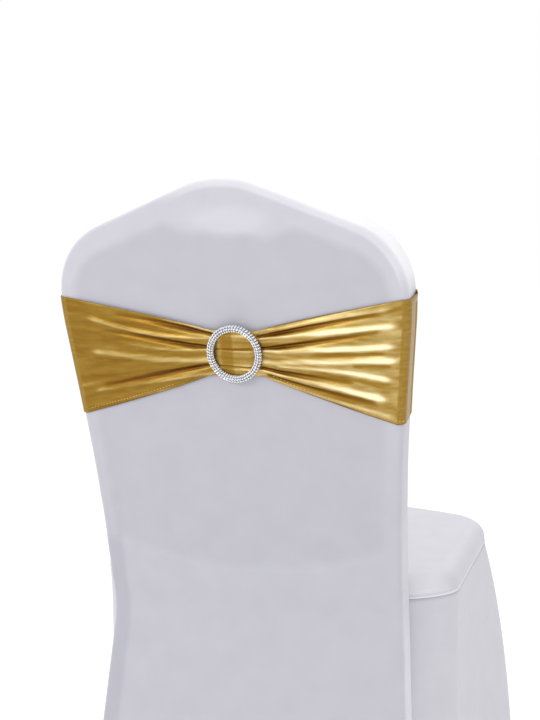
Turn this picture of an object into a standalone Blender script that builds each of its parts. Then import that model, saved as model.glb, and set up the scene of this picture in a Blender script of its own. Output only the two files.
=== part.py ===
"""Stretch cover of a crown-back chair, with a gathered metallic sash and a round ring buckle.

The cover is modelled as it is worn, pulled taut by a chair that is left out. The front faces -Y, the
back faces +Y, and the hem's four foot points reach Z = 0. Every piece of cloth is a thin closed sheet.
"""
import math

import bpy

# Cloth
COVER_THICKNESS = 0.0016
SASH_THICKNESS = 0.0012
SEAM_GAP = 0.0004

# Back sleeve: its rear face is a plane that leans back, and s is the distance up that plane
RECLINE = math.radians(13.94)
SPLAY = math.radians(10.5)
SEAT_LEVEL = 0.460
SLEEVE_DEPTH = 0.045
CROWN_PEAK = 0.4942
CROWN_SLOPE = 0.4026
PEAK_RADIUS = 0.118
SHOULDER_HALF_WIDTH = 0.2095
SHOULDER_RADIUS = 0.090
RIM_RADIUS = 0.007
FRONT_RIM_RADIUS = 0.005
FRONT_LIP = 0.003
RIM_STEPS = 3
BEND_TOP = -0.040
BEND_LENGTH = 0.056
REAR_HEM_HALF_WIDTH = 0.200
PANEL_RECESS = 0.0028
PANEL_BORDER = 0.025
PANEL_LOW_END = 0.036
CROWN_BORDER = 0.051
BORDER_RAMP = 0.012
FRONT_PAD_BULGE = 0.014
PAD_EDGE = 0.010
PAD_LOW_END = 0.12
PAD_FADE_START = 0.25
PAD_FADE_END = 0.43

# Seat, measured from the line where it meets the backrest
SEAT_HALF_WIDTH = 0.238
SEAT_FRONT = -0.474
SEAT_FRONT_BOW = 0.048
SEAT_TOP = 0.456
SEAT_DOME = 0.0062
SEAT_ROLL = 0.024
SEAT_SEAM = 0.426
SEAT_CORNER_RADIUS = 0.045
REAR_CORNER_DEPTH = 0.066
REAR_CORNER_POWER = 1.8
SEAT_END_S = -0.03
SEAT_FRONT_STEPS = 6
SEAT_CORNER_STEPS = 6
SEAT_SIDE_STEPS = 7
SEAT_REAR_STEPS = 5
SEAT_ROLL_STEPS = 4

# Skirt
FLARE_SIDE = 0.055
FLARE_FRONT = 0.045
FLARE_LENGTH = 0.24
SIDE_ARCH = 0.110
FRONT_ARCH = 0.130
REAR_ARCH = 0.110
FOOT_SHARE = 0.94
ARCH_POWER = 2.6
FOOT_LIFT = 0.0003
SKIRT_SEAM_DRAW = 0.0006

# Sash and its ring
SASH_LOW = 0.202
SASH_HIGH = 0.348
RING_X = -0.006
RING_S = 0.284
RING_RADIUS = 0.0335
RING_RIM = 0.0080
RING_UNDERSIDE = 0.0060
RING_DEPTH = 0.0050
BAR_WIDTH = 0.0050
BAR_UNDERSIDE = 0.0010
BAR_TOP = 0.0040
GATHER_HALF_HEIGHT = 0.0240
MOUTH_HALF_HEIGHT = 0.0278
SASH_SPREAD_POWER = 0.88
SASH_SEAM_SHARE = 0.62
SASH_LIFT = 0.0018
UNDER_RIM_LIFT = 0.0030
OVER_BAR_LIFT = 0.0062
INNER_FOLD_HEIGHT = 0.0022
INNER_VALLEY = 0.63
INNER_VALLEY_WIDTH = 0.10
INNER_MARGIN = 0.002
INNER_RAMP = 0.014
FOLD_HEIGHT = 0.0062
FOLD_EDGE_SHARE = 0.35
FOLD_FADE_START = 0.45
MOUTH_RAMP = 0.018
VALLEY_DEPTH_SHARE = 0.85
VALLEY_FADE_START = 0.60
VALLEY_SPREAD = 0.40
RING_TURNS = 36
RING_SECTION_STEPS = 8

# The bounding box is centred on Y = 0 by this shift
FRAME_SHIFT = 0.1795

# Half-width of the back's side edge at heights s up the rear plane
BACK_SIDE = (
    {"s": -0.470, "half_width": 0.2130},
    {"s": -0.250, "half_width": 0.2000},
    {"s": -0.060, "half_width": 0.1878},
    {"s": 0.062, "half_width": 0.1898},
    {"s": 0.144, "half_width": 0.1936},
    {"s": 0.227, "half_width": 0.2000},
    {"s": 0.330, "half_width": 0.2095},
    {"s": 0.560, "half_width": 0.2095},
)

# Valleys between the sash's folds: side of the ring, place across the band (0 low, 1 high) at the ring
# and at the valley's outer end, how far out it reaches (0 ring, 1 edge), and its half-width at the ring
SASH_VALLEYS = (
    {"side": 1, "at_ring": 0.93, "at_end": 0.66, "reach": 0.95, "width": 0.045},
    {"side": 1, "at_ring": 0.69, "at_end": 0.52, "reach": 0.90, "width": 0.055},
    {"side": 1, "at_ring": 0.30, "at_end": 0.17, "reach": 0.80, "width": 0.075},
    {"side": -1, "at_ring": 0.90, "at_end": 0.76, "reach": 0.75, "width": 0.045},
    {"side": -1, "at_ring": 0.64, "at_end": 0.55, "reach": 0.85, "width": 0.060},
    {"side": -1, "at_ring": 0.40, "at_end": 0.35, "reach": 0.35, "width": 0.045},
    {"side": -1, "at_ring": 0.22, "at_end": 0.27, "reach": 0.90, "width": 0.060},
)

# Columns across the half-width of the back, closer together towards the shoulder
BACK_COLUMNS = (0.0, 0.14, 0.30, 0.46, 0.60, 0.72, 0.82, 0.89, 0.94, 0.98, 1.0)
# Rows up the back, from the end of the bend at the seat's frame to the shoulder
BACK_ROWS = (-0.098, -0.078, -0.058, -0.038, 0.0, 0.035, 0.065, 0.11, 0.17, 0.202, 0.227, 0.28, 0.330, 0.349)
SKIRT_ROWS = 4
CROWN_ROWS = 4
# Rows of the skirt from its seam (0) to its hem (1), closer together beside the back's bend
SKIRT_PARTS = (0.0, 0.055, 0.11, 0.165, 0.22, 0.36, 0.52, 0.68, 0.84, 1.0)
# Columns and rows of the sleeve's front panel, and of the part of it inside the crown
PAD_COLUMNS = (0.0, 0.30, 0.58, 0.80, 0.93, 1.0)
PAD_ROWS = (0.03, 0.06, 0.13, 0.20, 0.28, 0.349)
PAD_CROWN_PARTS = (0.35, 0.70, 1.0)
# Rows of the seat from the backrest to where it rolls over its edge
SEAT_PARTS = (0.0, 0.25, 0.5, 0.78, 1.0)
# Places of the sash away from the middle of the ring, and rows across the sash
SASH_COLUMNS = (
    0.0, 0.006, 0.012, 0.019, 0.0255, 0.0335, 0.040,
    0.048, 0.060, 0.078, 0.100, 0.125, 0.150, 0.175,
)
SASH_ROWS = 20
FRONT_SASH_COLUMNS = (0.0, 0.3, 0.58, 0.8, 0.93)
FRONT_SASH_ROWS = (0.202, 0.227, 0.28, 0.330, 0.348)


def mix(start, end, share):
    return start + (end - start) * share


def smooth(value):
    value = min(max(value, 0.0), 1.0)
    return value * value * (3.0 - 2.0 * value)


def lookup(table, key, column, value):
    """Straight-line reading of a column at a value of the key column."""
    if value <= table[0][key]:
        return table[0][column]
    for lower, upper in zip(table, table[1:]):
        if value <= upper[key]:
            share = (value - lower[key]) / (upper[key] - lower[key])
            return mix(lower[column], upper[column], share)
    return table[-1][column]


def back_point(x, s, outward):
    """Point of the back sleeve: x across, s up the rear face, outward from that face."""
    if s >= BEND_TOP:
        angle = RECLINE
        y = s * math.sin(RECLINE)
        z = SEAT_LEVEL + s * math.cos(RECLINE)
    else:
        radius = BEND_LENGTH / (RECLINE + SPLAY)
        angle = max(RECLINE - (BEND_TOP - s) / radius, -SPLAY)
        below = max(BEND_TOP - BEND_LENGTH - s, 0.0)
        y = BEND_TOP * math.sin(RECLINE) - radius * (math.cos(angle) - math.cos(RECLINE))
        z = SEAT_LEVEL + BEND_TOP * math.cos(RECLINE) - radius * (math.sin(RECLINE) - math.sin(angle))
        y += below * math.sin(SPLAY)
        z -= below * math.cos(SPLAY)
    y += outward * math.cos(angle)
    z -= outward * math.sin(angle)
    return (x, y + FRAME_SHIFT, z)


def back_s_at_height(x, height, outward=0.0):
    """The s at which the back reaches a height, found by halving."""
    low, high = -0.60, 0.60
    for _ in range(40):
        middle = (low + high) / 2.0
        if back_point(x, middle, outward)[2] < height:
            low = middle
        else:
            high = middle
    return low


def side_half_width(s):
    return lookup(BACK_SIDE, "s", "half_width", s)


def crown_height(x, inset):
    """Top outline of the back at x, moved inwards by an inset: peak arc, straight slope, shoulder arc."""
    x = abs(x)
    slope_angle = math.atan(CROWN_SLOPE)
    peak_radius = PEAK_RADIUS - inset
    peak_centre = CROWN_PEAK - PEAK_RADIUS / math.cos(slope_angle)
    if x <= peak_radius * math.sin(slope_angle):
        return peak_centre + math.sqrt(peak_radius ** 2 - x ** 2)
    shoulder_x = SHOULDER_HALF_WIDTH - SHOULDER_RADIUS
    shoulder_s = CROWN_PEAK - CROWN_SLOPE * shoulder_x - SHOULDER_RADIUS / math.cos(slope_angle)
    radius = SHOULDER_RADIUS - inset
    if x < shoulder_x + radius * math.sin(slope_angle):
        return CROWN_PEAK - CROWN_SLOPE * x - inset / math.cos(slope_angle)
    return shoulder_s + math.sqrt(max(radius ** 2 - (x - shoulder_x) ** 2, 0.0))


def panel_relief(x, s):
    """The rear panel lies a little lower than the border that the chair's frame pushes out."""
    if s < PANEL_LOW_END:
        return 0.0
    side = side_half_width(s) - PANEL_BORDER - abs(x)
    top = crown_height(x, 0.0) - CROWN_BORDER - s
    bottom = s - PANEL_LOW_END
    return -PANEL_RECESS * smooth(min(side, top, bottom) / BORDER_RAMP)


def hem_height(share, arch):
    """Height of the hem between two feet, where share runs from -1 to 1."""
    return FOOT_LIFT + arch * (1.0 - min(abs(share) / FOOT_SHARE, 1.0) ** ARCH_POWER)


class Grid:
    """Collects shared points and quads of one sheet, then turns them into a closed solid."""

    def __init__(self):
        self.points = []
        self.faces = []
        self.index = {}

    def point(self, position):
        key = tuple(round(value, 7) for value in position)
        if key not in self.index:
            self.index[key] = len(self.points)
            self.points.append(position)
        return self.index[key]

    def rows(self, rows):
        """Adds quads between neighbouring rows of positions."""
        for lower, upper in zip(rows, rows[1:]):
            for left in range(len(lower) - 1):
                corners = (lower[left], lower[left + 1], upper[left + 1], upper[left])
                face = []
                for corner in corners:
                    vertex = self.point(corner)
                    if vertex not in face:
                        face.append(vertex)
                if len(face) > 2:
                    self.faces.append(face)

    def solid(self, name, surface, thickness):
        mesh = bpy.data.meshes.new(name)
        mesh.from_pydata(self.points, [], self.faces)
        mesh.shade_smooth()
        mesh.set_sharp_from_angle(angle=math.radians(50))
        piece = bpy.data.objects.new(name, mesh)
        piece.data.materials.append(surface)
        bpy.context.scene.collection.objects.link(piece)
        cloth = piece.modifiers.new("cloth", "SOLIDIFY")
        cloth.thickness = thickness
        cloth.offset = -1.0
        cloth.use_even_offset = True
        cloth.use_rim = True


def clear_scene():
    for thing in list(bpy.data.objects):
        bpy.data.objects.remove(thing, do_unlink=True)


def surface(name, colour, roughness, metallic):
    material = bpy.data.materials.new(name)
    material.use_nodes = True
    shader = material.node_tree.nodes["Principled BSDF"]
    shader.inputs["Base Color"].default_value = (*colour, 1.0)
    shader.inputs["Roughness"].default_value = roughness
    shader.inputs["Metallic"].default_value = metallic
    return material


def mirrored(half):
    """A list of positive values with its mirror image before it."""
    return [-value for value in reversed(half[1:])] + list(half)


def back_rows():
    """Rows of (share, s) pairs of the rear face, from the hem to the crown, inside the rim's fillet."""
    columns = mirrored(BACK_COLUMNS)
    rows = []
    for row in range(SKIRT_ROWS):
        line = []
        for share in columns:
            hem = back_s_at_height(share * REAR_HEM_HALF_WIDTH, hem_height(share, REAR_ARCH))
            line.append((share, mix(hem, BACK_ROWS[0], row / SKIRT_ROWS)))
        rows.append(line)
    for s in BACK_ROWS:
        rows.append([(share, s) for share in columns])
    for row in range(1, CROWN_ROWS + 1):
        line = []
        for share in columns:
            x = share * (SHOULDER_HALF_WIDTH - RIM_RADIUS)
            top = max(crown_height(x, RIM_RADIUS), BACK_ROWS[-1])
            line.append((share, mix(BACK_ROWS[-1], top, row / CROWN_ROWS)))
        rows.append(line)
    return rows


def back_outline(rows):
    """Edge of the rear face from the left foot over the crown to the right foot, with its outward side."""
    below_shoulder = rows[:SKIRT_ROWS + len(BACK_ROWS) - 1]
    line = []
    for row in below_shoulder:
        share, s = row[0]
        line.append((share * (side_half_width(s) - RIM_RADIUS), s))
    for share, s in rows[-1]:
        line.append((share * (SHOULDER_HALF_WIDTH - RIM_RADIUS), s))
    for row in reversed(below_shoulder):
        share, s = row[-1]
        line.append((share * (side_half_width(s) - RIM_RADIUS), s))
    outline = []
    for index, (x, s) in enumerate(line):
        before = line[max(index - 1, 0)]
        after = line[min(index + 1, len(line) - 1)]
        along = (after[0] - before[0], after[1] - before[1])
        length = math.hypot(*along)
        outline.append((x, s, -along[1] / length, along[0] / length))
    return outline


def rim_profile():
    """Steps of the rim from the rear face round to the front edge: sideways from the face, and outward."""
    profile = []
    for step in range(RIM_STEPS + 1):
        angle = math.pi / 2.0 * step / RIM_STEPS
        profile.append((RIM_RADIUS * math.sin(angle), -RIM_RADIUS * (1.0 - math.cos(angle))))
    for step in range(RIM_STEPS):
        angle = math.pi / 2.0 * step / (RIM_STEPS - 1)
        sideways = RIM_RADIUS - FRONT_RIM_RADIUS * (1.0 - math.cos(angle))
        profile.append((sideways, -SLEEVE_DEPTH + FRONT_RIM_RADIUS * (1.0 - math.sin(angle))))
    profile.append((RIM_RADIUS - FRONT_RIM_RADIUS - FRONT_LIP, -SLEEVE_DEPTH))
    return profile


def make_back_panel(white):
    """Rear face, border and rim of the back in one panel, from the crown down to the rear hem."""
    sheet = Grid()
    rows = back_rows()
    face = []
    for line in rows:
        points = []
        for share, s in line:
            x = share * (side_half_width(min(s, BACK_ROWS[-1])) - RIM_RADIUS)
            points.append(back_point(x, s, panel_relief(x, s)))
        face.append(list(reversed(points)))
    sheet.rows(face)
    outline = back_outline(rows)
    rim = []
    for sideways, outward in rim_profile():
        line = []
        for x, s, side_x, side_s in outline:
            line.append(back_point(x + sideways * side_x, s + sideways * side_s, outward))
        for foot in (0, -1):
            x = outline[foot][0] + sideways * outline[foot][2]
            line[foot] = back_point(x, back_s_at_height(x, FOOT_LIFT, outward), outward)
        rim.append(line)
    sheet.rows(list(reversed(rim)))
    sheet.solid("back_panel", white, COVER_THICKNESS)


def pad_bulge(x, s):
    """How far the padded backrest pushes the sleeve's front panel forward."""
    side = 1.0 - min(abs(x) / (side_half_width(s) - PAD_EDGE), 1.0) ** 2
    top = 1.0 - smooth((s - PAD_FADE_START) / (PAD_FADE_END - PAD_FADE_START))
    low = smooth(s / PAD_LOW_END)
    return FRONT_PAD_BULGE * side * top * low


def make_backrest_panel(white):
    """Front face of the back sleeve, bulging a little over the padded backrest."""
    sheet = Grid()
    inset = FRONT_RIM_RADIUS + FRONT_LIP + 2.0 * SEAM_GAP
    columns = mirrored(PAD_COLUMNS)
    shoulder = PAD_ROWS[-1]
    bottom = []
    for share in columns:
        x = share * (side_half_width(0.0) - inset)
        bottom.append((x, back_s_at_height(x, SEAT_TOP + 2.0 * SEAM_GAP, -SLEEVE_DEPTH)))
    rows = [bottom]
    for s in PAD_ROWS:
        rows.append([(share * (side_half_width(s) - inset), s) for share in columns])
    for part in PAD_CROWN_PARTS:
        line = []
        for share in columns:
            x = share * (SHOULDER_HALF_WIDTH - inset)
            top = max(crown_height(x, inset), shoulder)
            line.append((x, mix(shoulder, top, part)))
        rows.append(line)
    surface_rows = []
    for line in rows:
        points = []
        for x, s in line:
            points.append(back_point(x, s, -SLEEVE_DEPTH - pad_bulge(x, s)))
        surface_rows.append(points)
    sheet.rows(surface_rows)
    sheet.solid("backrest_panel", white, COVER_THICKNESS)


def backrest_line(x, height):
    """Y of the sleeve's front plane at x and a height."""
    s = back_s_at_height(x, height, -SLEEVE_DEPTH)
    return back_point(x, s, -SLEEVE_DEPTH)[1]


def seat_outline(height):
    """Plan of the seat's edge at a height, from the right rear corner round the bowed front.

    Each entry is (x, y, outward x, outward y, run), where run names the stretch it belongs to.
    """
    start_x = side_half_width(SEAT_END_S) - FRONT_RIM_RADIUS
    rear = backrest_line(start_x, height) - SEAM_GAP
    front = SEAT_FRONT + FRAME_SHIFT
    corner_x = SEAT_HALF_WIDTH - SEAT_CORNER_RADIUS
    corner_y = front + SEAT_CORNER_RADIUS
    side_end = seat_side_end()
    half = []
    for step in range(SEAT_FRONT_STEPS):
        half.append((corner_x * step / SEAT_FRONT_STEPS, front, "front"))
    for step in range(SEAT_CORNER_STEPS + 1):
        angle = math.pi / 2.0 * step / SEAT_CORNER_STEPS
        x = corner_x + SEAT_CORNER_RADIUS * math.sin(angle)
        half.append((x, corner_y - SEAT_CORNER_RADIUS * math.cos(angle), "corner"))
    for step in range(1, SEAT_SIDE_STEPS + 1):
        half.append((SEAT_HALF_WIDTH, mix(corner_y, side_end, step / SEAT_SIDE_STEPS), "side"))
    for step in range(1, SEAT_REAR_STEPS + 1):
        angle = math.pi / 2.0 * step / SEAT_REAR_STEPS
        wide = (SEAT_HALF_WIDTH - start_x) * max(math.cos(angle), 0.0) ** REAR_CORNER_POWER
        half.append((start_x + wide, mix(side_end, rear, math.sin(angle)), "rear"))
    bowed = []
    for x, y, run in half:
        forward = max((side_end - y) / (side_end - front), 0.0)
        bowed.append((x, y + SEAT_FRONT_BOW * (x / SEAT_HALF_WIDTH) ** 2 * forward, run))
    line = [(-x, y, run) for x, y, run in reversed(bowed[1:])] + bowed
    outline = []
    for index, (x, y, run) in enumerate(line):
        before = line[max(index - 1, 0)]
        after = line[min(index + 1, len(line) - 1)]
        along = (after[0] - before[0], after[1] - before[1])
        length = math.hypot(*along)
        outline.append((x, y, along[1] / length, -along[0] / length, run))
    return outline


def seat_side_end():
    """Y at which the seat's straight side turns in towards the back."""
    return backrest_line(SEAT_HALF_WIDTH, SEAT_SEAM) - REAR_CORNER_DEPTH


def seat_dome(x, y, rear):
    """Rise of the padded seat above the level of its sides; it fades out towards the backrest."""
    across = x / SEAT_HALF_WIDTH
    along = (y - SEAT_FRONT - FRAME_SHIFT) / (rear - SEAT_FRONT - FRAME_SHIFT)
    return SEAT_DOME * max(1.0 - across ** 2, 0.0) * max(1.0 - max(along, 0.0) ** 4, 0.0)


def make_seat_panel(white):
    """Top of the seat, rolled over its edge down to the seam above the skirt."""
    sheet = Grid()
    level = SEAT_TOP - COVER_THICKNESS
    end_x = side_half_width(SEAT_END_S) - FRONT_RIM_RADIUS - SEAT_ROLL
    rear = backrest_line(0.0, level) - SEAM_GAP
    inner = []
    outline = seat_outline(level)
    for index, (x, y, out_x, out_y, run) in enumerate(outline):
        if run == "rear":
            # Towards the back the roll turns sideways, so that it ends against the back's rim
            turn = 1.0 - min(index, len(outline) - 1 - index) / SEAT_REAR_STEPS
            out_x, out_y = mix(out_x, math.copysign(1.0, x), turn), mix(out_y, 0.0, turn)
        rear_x = min(max(x, -end_x), end_x)
        rear_y = backrest_line(rear_x, level) - SEAM_GAP
        inner.append((x - SEAT_ROLL * out_x, min(y - SEAT_ROLL * out_y, rear_y), rear_x, rear_y))
    rows = []
    for part in SEAT_PARTS:
        line = []
        for edge_x, edge_y, rear_x, rear_y in inner:
            x, y = mix(rear_x, edge_x, part), mix(rear_y, edge_y, part)
            line.append((x, y, SEAT_TOP + seat_dome(x, y, rear)))
        rows.append(line)
    for step in range(1, SEAT_ROLL_STEPS + 1):
        angle = math.pi / 2.0 * step / SEAT_ROLL_STEPS
        height = SEAT_TOP - SEAT_ROLL * (1.0 - math.cos(angle))
        line = []
        for edge, entry in zip(inner, seat_outline(height)):
            x = mix(edge[0], entry[0], math.sin(angle))
            y = mix(edge[1], entry[1], math.sin(angle))
            line.append((x, y, height + seat_dome(edge[0], edge[1], rear) * math.cos(angle)))
        rows.append(line)
    seam = SEAT_SEAM + SEAM_GAP
    rows.append([(entry[0], entry[1], seam) for entry in seat_outline(seam)])
    sheet.rows([list(reversed(line)) for line in rows])
    sheet.solid("seat_panel", white, COVER_THICKNESS)


def skirt_point(entry, height):
    """Point of the skirt below an entry of the seat's outline."""
    x, y, _, _, run = entry
    flare = 1.0 - math.exp(-(SEAT_SEAM - height) / FLARE_LENGTH)
    share = flare / (1.0 - math.exp(-SEAT_SEAM / FLARE_LENGTH))
    side_end = seat_side_end()
    if run == "rear":
        # Behind the seat the skirt is pulled straight to the rear foot
        start_x = side_half_width(SEAT_END_S) - FRONT_RIM_RADIUS
        foot_x = side_half_width(back_s_at_height(start_x, height, -SLEEVE_DEPTH)) - FRONT_RIM_RADIUS
        rear = backrest_line(start_x, height) - SEAM_GAP
        along = (abs(x) - start_x) / (SEAT_HALF_WIDTH - start_x)
        back = (y - side_end) / (backrest_line(start_x, SEAT_SEAM) - SEAM_GAP - side_end)
        wide = mix(foot_x, SEAT_HALF_WIDTH, mix(along, 1.0 - back, share))
        return (math.copysign(wide, x), mix(side_end, rear, back), height)
    forward = smooth((side_end - y) / (side_end - SEAT_FRONT - FRAME_SHIFT))
    sideways = x / SEAT_HALF_WIDTH
    floor_x = x + FLARE_SIDE * forward * sideways
    floor_y = y - FLARE_FRONT * forward * sideways ** 2
    return (mix(x, floor_x, share), mix(y, floor_y, share), height)


def make_skirt_panels(white):
    """Two side panels and a front panel that meet at the middle of the front corners."""
    outline = seat_outline(SEAT_SEAM)
    corners = [index for index, entry in enumerate(outline) if entry[4] == "corner"]
    right_seam = corners[len(corners) // 4]
    left_seam = corners[-1 - len(corners) // 4]
    runs = (
        ("side_panel_right", 0, right_seam, SIDE_ARCH),
        ("front_panel", right_seam, left_seam, FRONT_ARCH),
        ("side_panel_left", left_seam, len(outline) - 1, SIDE_ARCH),
    )
    for name, first, last, arch in runs:
        sheet = Grid()
        entries = outline[first:last + 1]
        lengths = [0.0]
        for one, two in zip(entries, entries[1:]):
            lengths.append(lengths[-1] + math.hypot(two[0] - one[0], two[1] - one[1]))
        rows = []
        for part in SKIRT_PARTS:
            line = []
            for entry, length in zip(entries, lengths):
                share = 2.0 * length / lengths[-1] - 1.0
                height = mix(SEAT_SEAM, hem_height(share, arch), part)
                line.append(skirt_point(entry, height))
            rows.append(line)
        draw_back_ends(rows)
        sheet.rows([list(reversed(line)) for line in rows])
        sheet.solid(name, white, COVER_THICKNESS)


def draw_back_ends(rows):
    """Draws the two ends of a panel back a little, so that it meets its neighbour in a seam."""
    for line in rows:
        for end, near in ((0, 1), (-1, -2)):
            one, two = line[end], line[near]
            length = math.dist(one, two)
            share = min(SKIRT_SEAM_DRAW / length, 0.5)
            line[end] = tuple(mix(a, b, share) for a, b in zip(one, two))


def sash_edges(x):
    """Lower and upper edge of the sash at x: narrowest over the bar, wider at the ring, full at the sides."""
    away = abs(x - RING_X)
    if away < RING_RADIUS:
        half = mix(GATHER_HALF_HEIGHT, MOUTH_HALF_HEIGHT, (away / RING_RADIUS) ** 2)
        return RING_S - half, RING_S + half
    side = math.copysign(1.0, x - RING_X)
    edges = []
    for mouth, end in ((RING_S - MOUTH_HALF_HEIGHT, SASH_LOW), (RING_S + MOUTH_HALF_HEIGHT, SASH_HIGH)):
        reach = side_half_width(end) - RIM_RADIUS - side * RING_X - RING_RADIUS
        share = min((away - RING_RADIUS) / reach, 1.0) ** SASH_SPREAD_POWER
        edges.append(mix(mouth, end, share))
    return edges


def sash_lift(x, across):
    """Height of the sash's outer side above the rear face."""
    away = abs(x - RING_X)
    edge_fall = math.sin(math.pi * min(max(across, 0.0), 1.0)) ** 0.5
    if away < RING_RADIUS:
        inside = smooth((RING_RADIUS - RING_RIM - INNER_MARGIN - away) / INNER_RAMP)
        fold = edge_fall * (1.0 - math.exp(-((across - INNER_VALLEY) / INNER_VALLEY_WIDTH) ** 2))
        return mix(UNDER_RIM_LIFT, OVER_BAR_LIFT + INNER_FOLD_HEIGHT * fold, inside)
    side = 1 if x > RING_X else -1
    share = (away - RING_RADIUS) / (side_half_width(RING_S) - RING_RADIUS)
    crest = FOLD_HEIGHT * mix(FOLD_EDGE_SHARE, 1.0, edge_fall)
    height = crest
    for valley in SASH_VALLEYS:
        if valley["side"] == side:
            place = mix(valley["at_ring"], valley["at_end"], min(share / valley["reach"], 1.0))
            width = valley["width"] * (1.0 + VALLEY_SPREAD * share)
            depth = 1.0 - smooth((share / valley["reach"] - VALLEY_FADE_START) / (1.0 - VALLEY_FADE_START))
            height -= VALLEY_DEPTH_SHARE * crest * depth * math.exp(-((across - place) / width) ** 2)
    fade = 1.0 - smooth((share - FOLD_FADE_START) / (1.0 - FOLD_FADE_START))
    grow = smooth((away - RING_RADIUS) / MOUTH_RAMP)
    return mix(UNDER_RIM_LIFT, SASH_LIFT + max(height, 0.0) * fade, grow)


def sash_side_points(side, across):
    """Points where the sash goes round the rim from the rear face to a seam on the side of the back."""
    s = mix(SASH_LOW, SASH_HIGH, across)
    edge = side_half_width(s) - RIM_RADIUS
    radius = RIM_RADIUS + SASH_LIFT
    points = []
    for step in range(RIM_STEPS + 1):
        angle = math.pi / 2.0 * step / RIM_STEPS
        x = side * (edge + radius * math.sin(angle))
        points.append((x, s, SASH_LIFT - radius * (1.0 - math.cos(angle))))
    points.append((side * (edge + radius), s, -SLEEVE_DEPTH * SASH_SEAM_SHARE))
    return points


def make_sash_rear(gold):
    """Rear half of the sash: gathered folds run from the ring and fade out towards the sides."""
    sheet = Grid()
    rows = []
    for step in range(SASH_ROWS + 1):
        across = step / SASH_ROWS
        line = list(reversed(sash_side_points(-1, across)))
        for away in mirrored(SASH_COLUMNS):
            x = away + RING_X
            low, high = sash_edges(x)
            line.append((x, mix(low, high, across), sash_lift(x, across)))
        line += sash_side_points(1, across)
        rows.append([back_point(*point) for point in line])
    sheet.rows([list(reversed(line)) for line in rows])
    sheet.solid("sash_rear", gold, SASH_THICKNESS)


def make_sash_front(gold):
    """Front half of the sash, flat over the backrest and round to the side seams."""
    sheet = Grid()
    seam = -SLEEVE_DEPTH * SASH_SEAM_SHARE - SEAM_GAP
    radius = FRONT_RIM_RADIUS + SASH_LIFT
    rows = []
    for s in FRONT_SASH_ROWS:
        edge = side_half_width(s) - FRONT_RIM_RADIUS
        half = []
        for share in FRONT_SASH_COLUMNS:
            x = share * edge
            half.append((x, s, -SLEEVE_DEPTH - SASH_LIFT - pad_bulge(x, s)))
        for turn in range(RIM_STEPS + 1):
            angle = math.pi / 2.0 * turn / RIM_STEPS
            half.append((edge + radius * math.sin(angle), s,
                         -SLEEVE_DEPTH + FRONT_RIM_RADIUS - radius * math.cos(angle)))
        half.append((edge + radius, s, seam))
        line = [(-x, height, outward) for x, height, outward in reversed(half[1:])] + half
        rows.append([back_point(*point) for point in line])
    sheet.rows(rows)
    sheet.solid("sash_front", gold, SASH_THICKNESS)


def ring_point(angle, around):
    """Point of the ring's rounded rim: angle round the ring, around its section."""
    radius = RING_RADIUS - RING_RIM / 2.0 * (1.0 - math.cos(around))
    outward = RING_UNDERSIDE + RING_DEPTH / 2.0 * (1.0 + math.sin(around))
    return back_point(RING_X + radius * math.cos(angle), RING_S + radius * math.sin(angle), outward)


def make_bar():
    """Form of the buckle's bar: its ends rise into the rim, and between them it lies below the cloth."""
    middle = RING_RADIUS - RING_RIM / 2.0
    inner = RING_RADIUS - RING_RIM
    centre = RING_UNDERSIDE + RING_DEPTH / 2.0
    places = (
        {"s": RING_S - middle, "low": RING_UNDERSIDE, "high": centre},
        {"s": RING_S - inner, "low": BAR_UNDERSIDE, "high": BAR_TOP},
        {"s": RING_S + inner, "low": BAR_UNDERSIDE, "high": BAR_TOP},
        {"s": RING_S + middle, "low": RING_UNDERSIDE, "high": centre},
    )
    points = []
    for place in places:
        for side, level in ((-0.5, "low"), (0.5, "low"), (0.5, "high"), (-0.5, "high")):
            points.append(back_point(RING_X + side * BAR_WIDTH, place["s"], place[level]))
    faces = [(0, 1, 2, 3), (15, 14, 13, 12)]
    for start in (0, 4, 8):
        for corner in range(4):
            beside = (corner + 1) % 4
            faces.append((start + corner, start + 4 + corner, start + 4 + beside, start + beside))
    mesh = bpy.data.meshes.new("bar_form")
    mesh.from_pydata(points, [], faces)
    bar = bpy.data.objects.new("bar_form", mesh)
    bar.hide_render = True
    bar.display_type = "WIRE"
    bpy.context.scene.collection.objects.link(bar)
    return bar


def make_ring(silver):
    """Round buckle: a rounded rim with one upright bar behind it, which the gathered sash passes over."""
    points = []
    faces = []
    for turn in range(RING_TURNS):
        for corner in range(RING_SECTION_STEPS):
            around = 2.0 * math.pi * (corner + 0.5) / RING_SECTION_STEPS
            points.append(ring_point(2.0 * math.pi * turn / RING_TURNS, around))
            here = turn * RING_SECTION_STEPS
            after = (turn + 1) % RING_TURNS * RING_SECTION_STEPS
            beside = (corner + 1) % RING_SECTION_STEPS
            faces.append((here + corner, after + corner, after + beside, here + beside))
    mesh = bpy.data.meshes.new("ring_buckle")
    mesh.from_pydata(points, [], faces)
    mesh.materials.append(silver)
    ring = bpy.data.objects.new("ring_buckle", mesh)
    bpy.context.scene.collection.objects.link(ring)
    union = ring.modifiers.new("bar", "BOOLEAN")
    union.operation = "UNION"
    union.solver = "EXACT"
    union.object = make_bar()


def main():
    clear_scene()
    white = surface("white_stretch_knit", (0.80, 0.79, 0.84), 0.75, 0.0)
    gold = surface("gold_metallic_knit", (0.55, 0.33, 0.08), 0.38, 0.9)
    silver = surface("silver_ring", (0.75, 0.75, 0.78), 0.25, 1.0)
    make_back_panel(white)
    make_backrest_panel(white)
    make_seat_panel(white)
    make_skirt_panels(white)
    make_sash_rear(gold)
    make_sash_front(gold)
    make_ring(silver)


main()
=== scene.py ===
"""Looks of the chair cover: its cloth in fine meshes, the sash's folds, the ring's stones, light and camera.

The front faces -Y and the back +Y. On the back, s is the distance up the leaning rear face and outward
the distance from it. The main sizes repeat the part's, and everything is in metres.
"""
import math

import bpy
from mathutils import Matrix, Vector, noise


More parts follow.
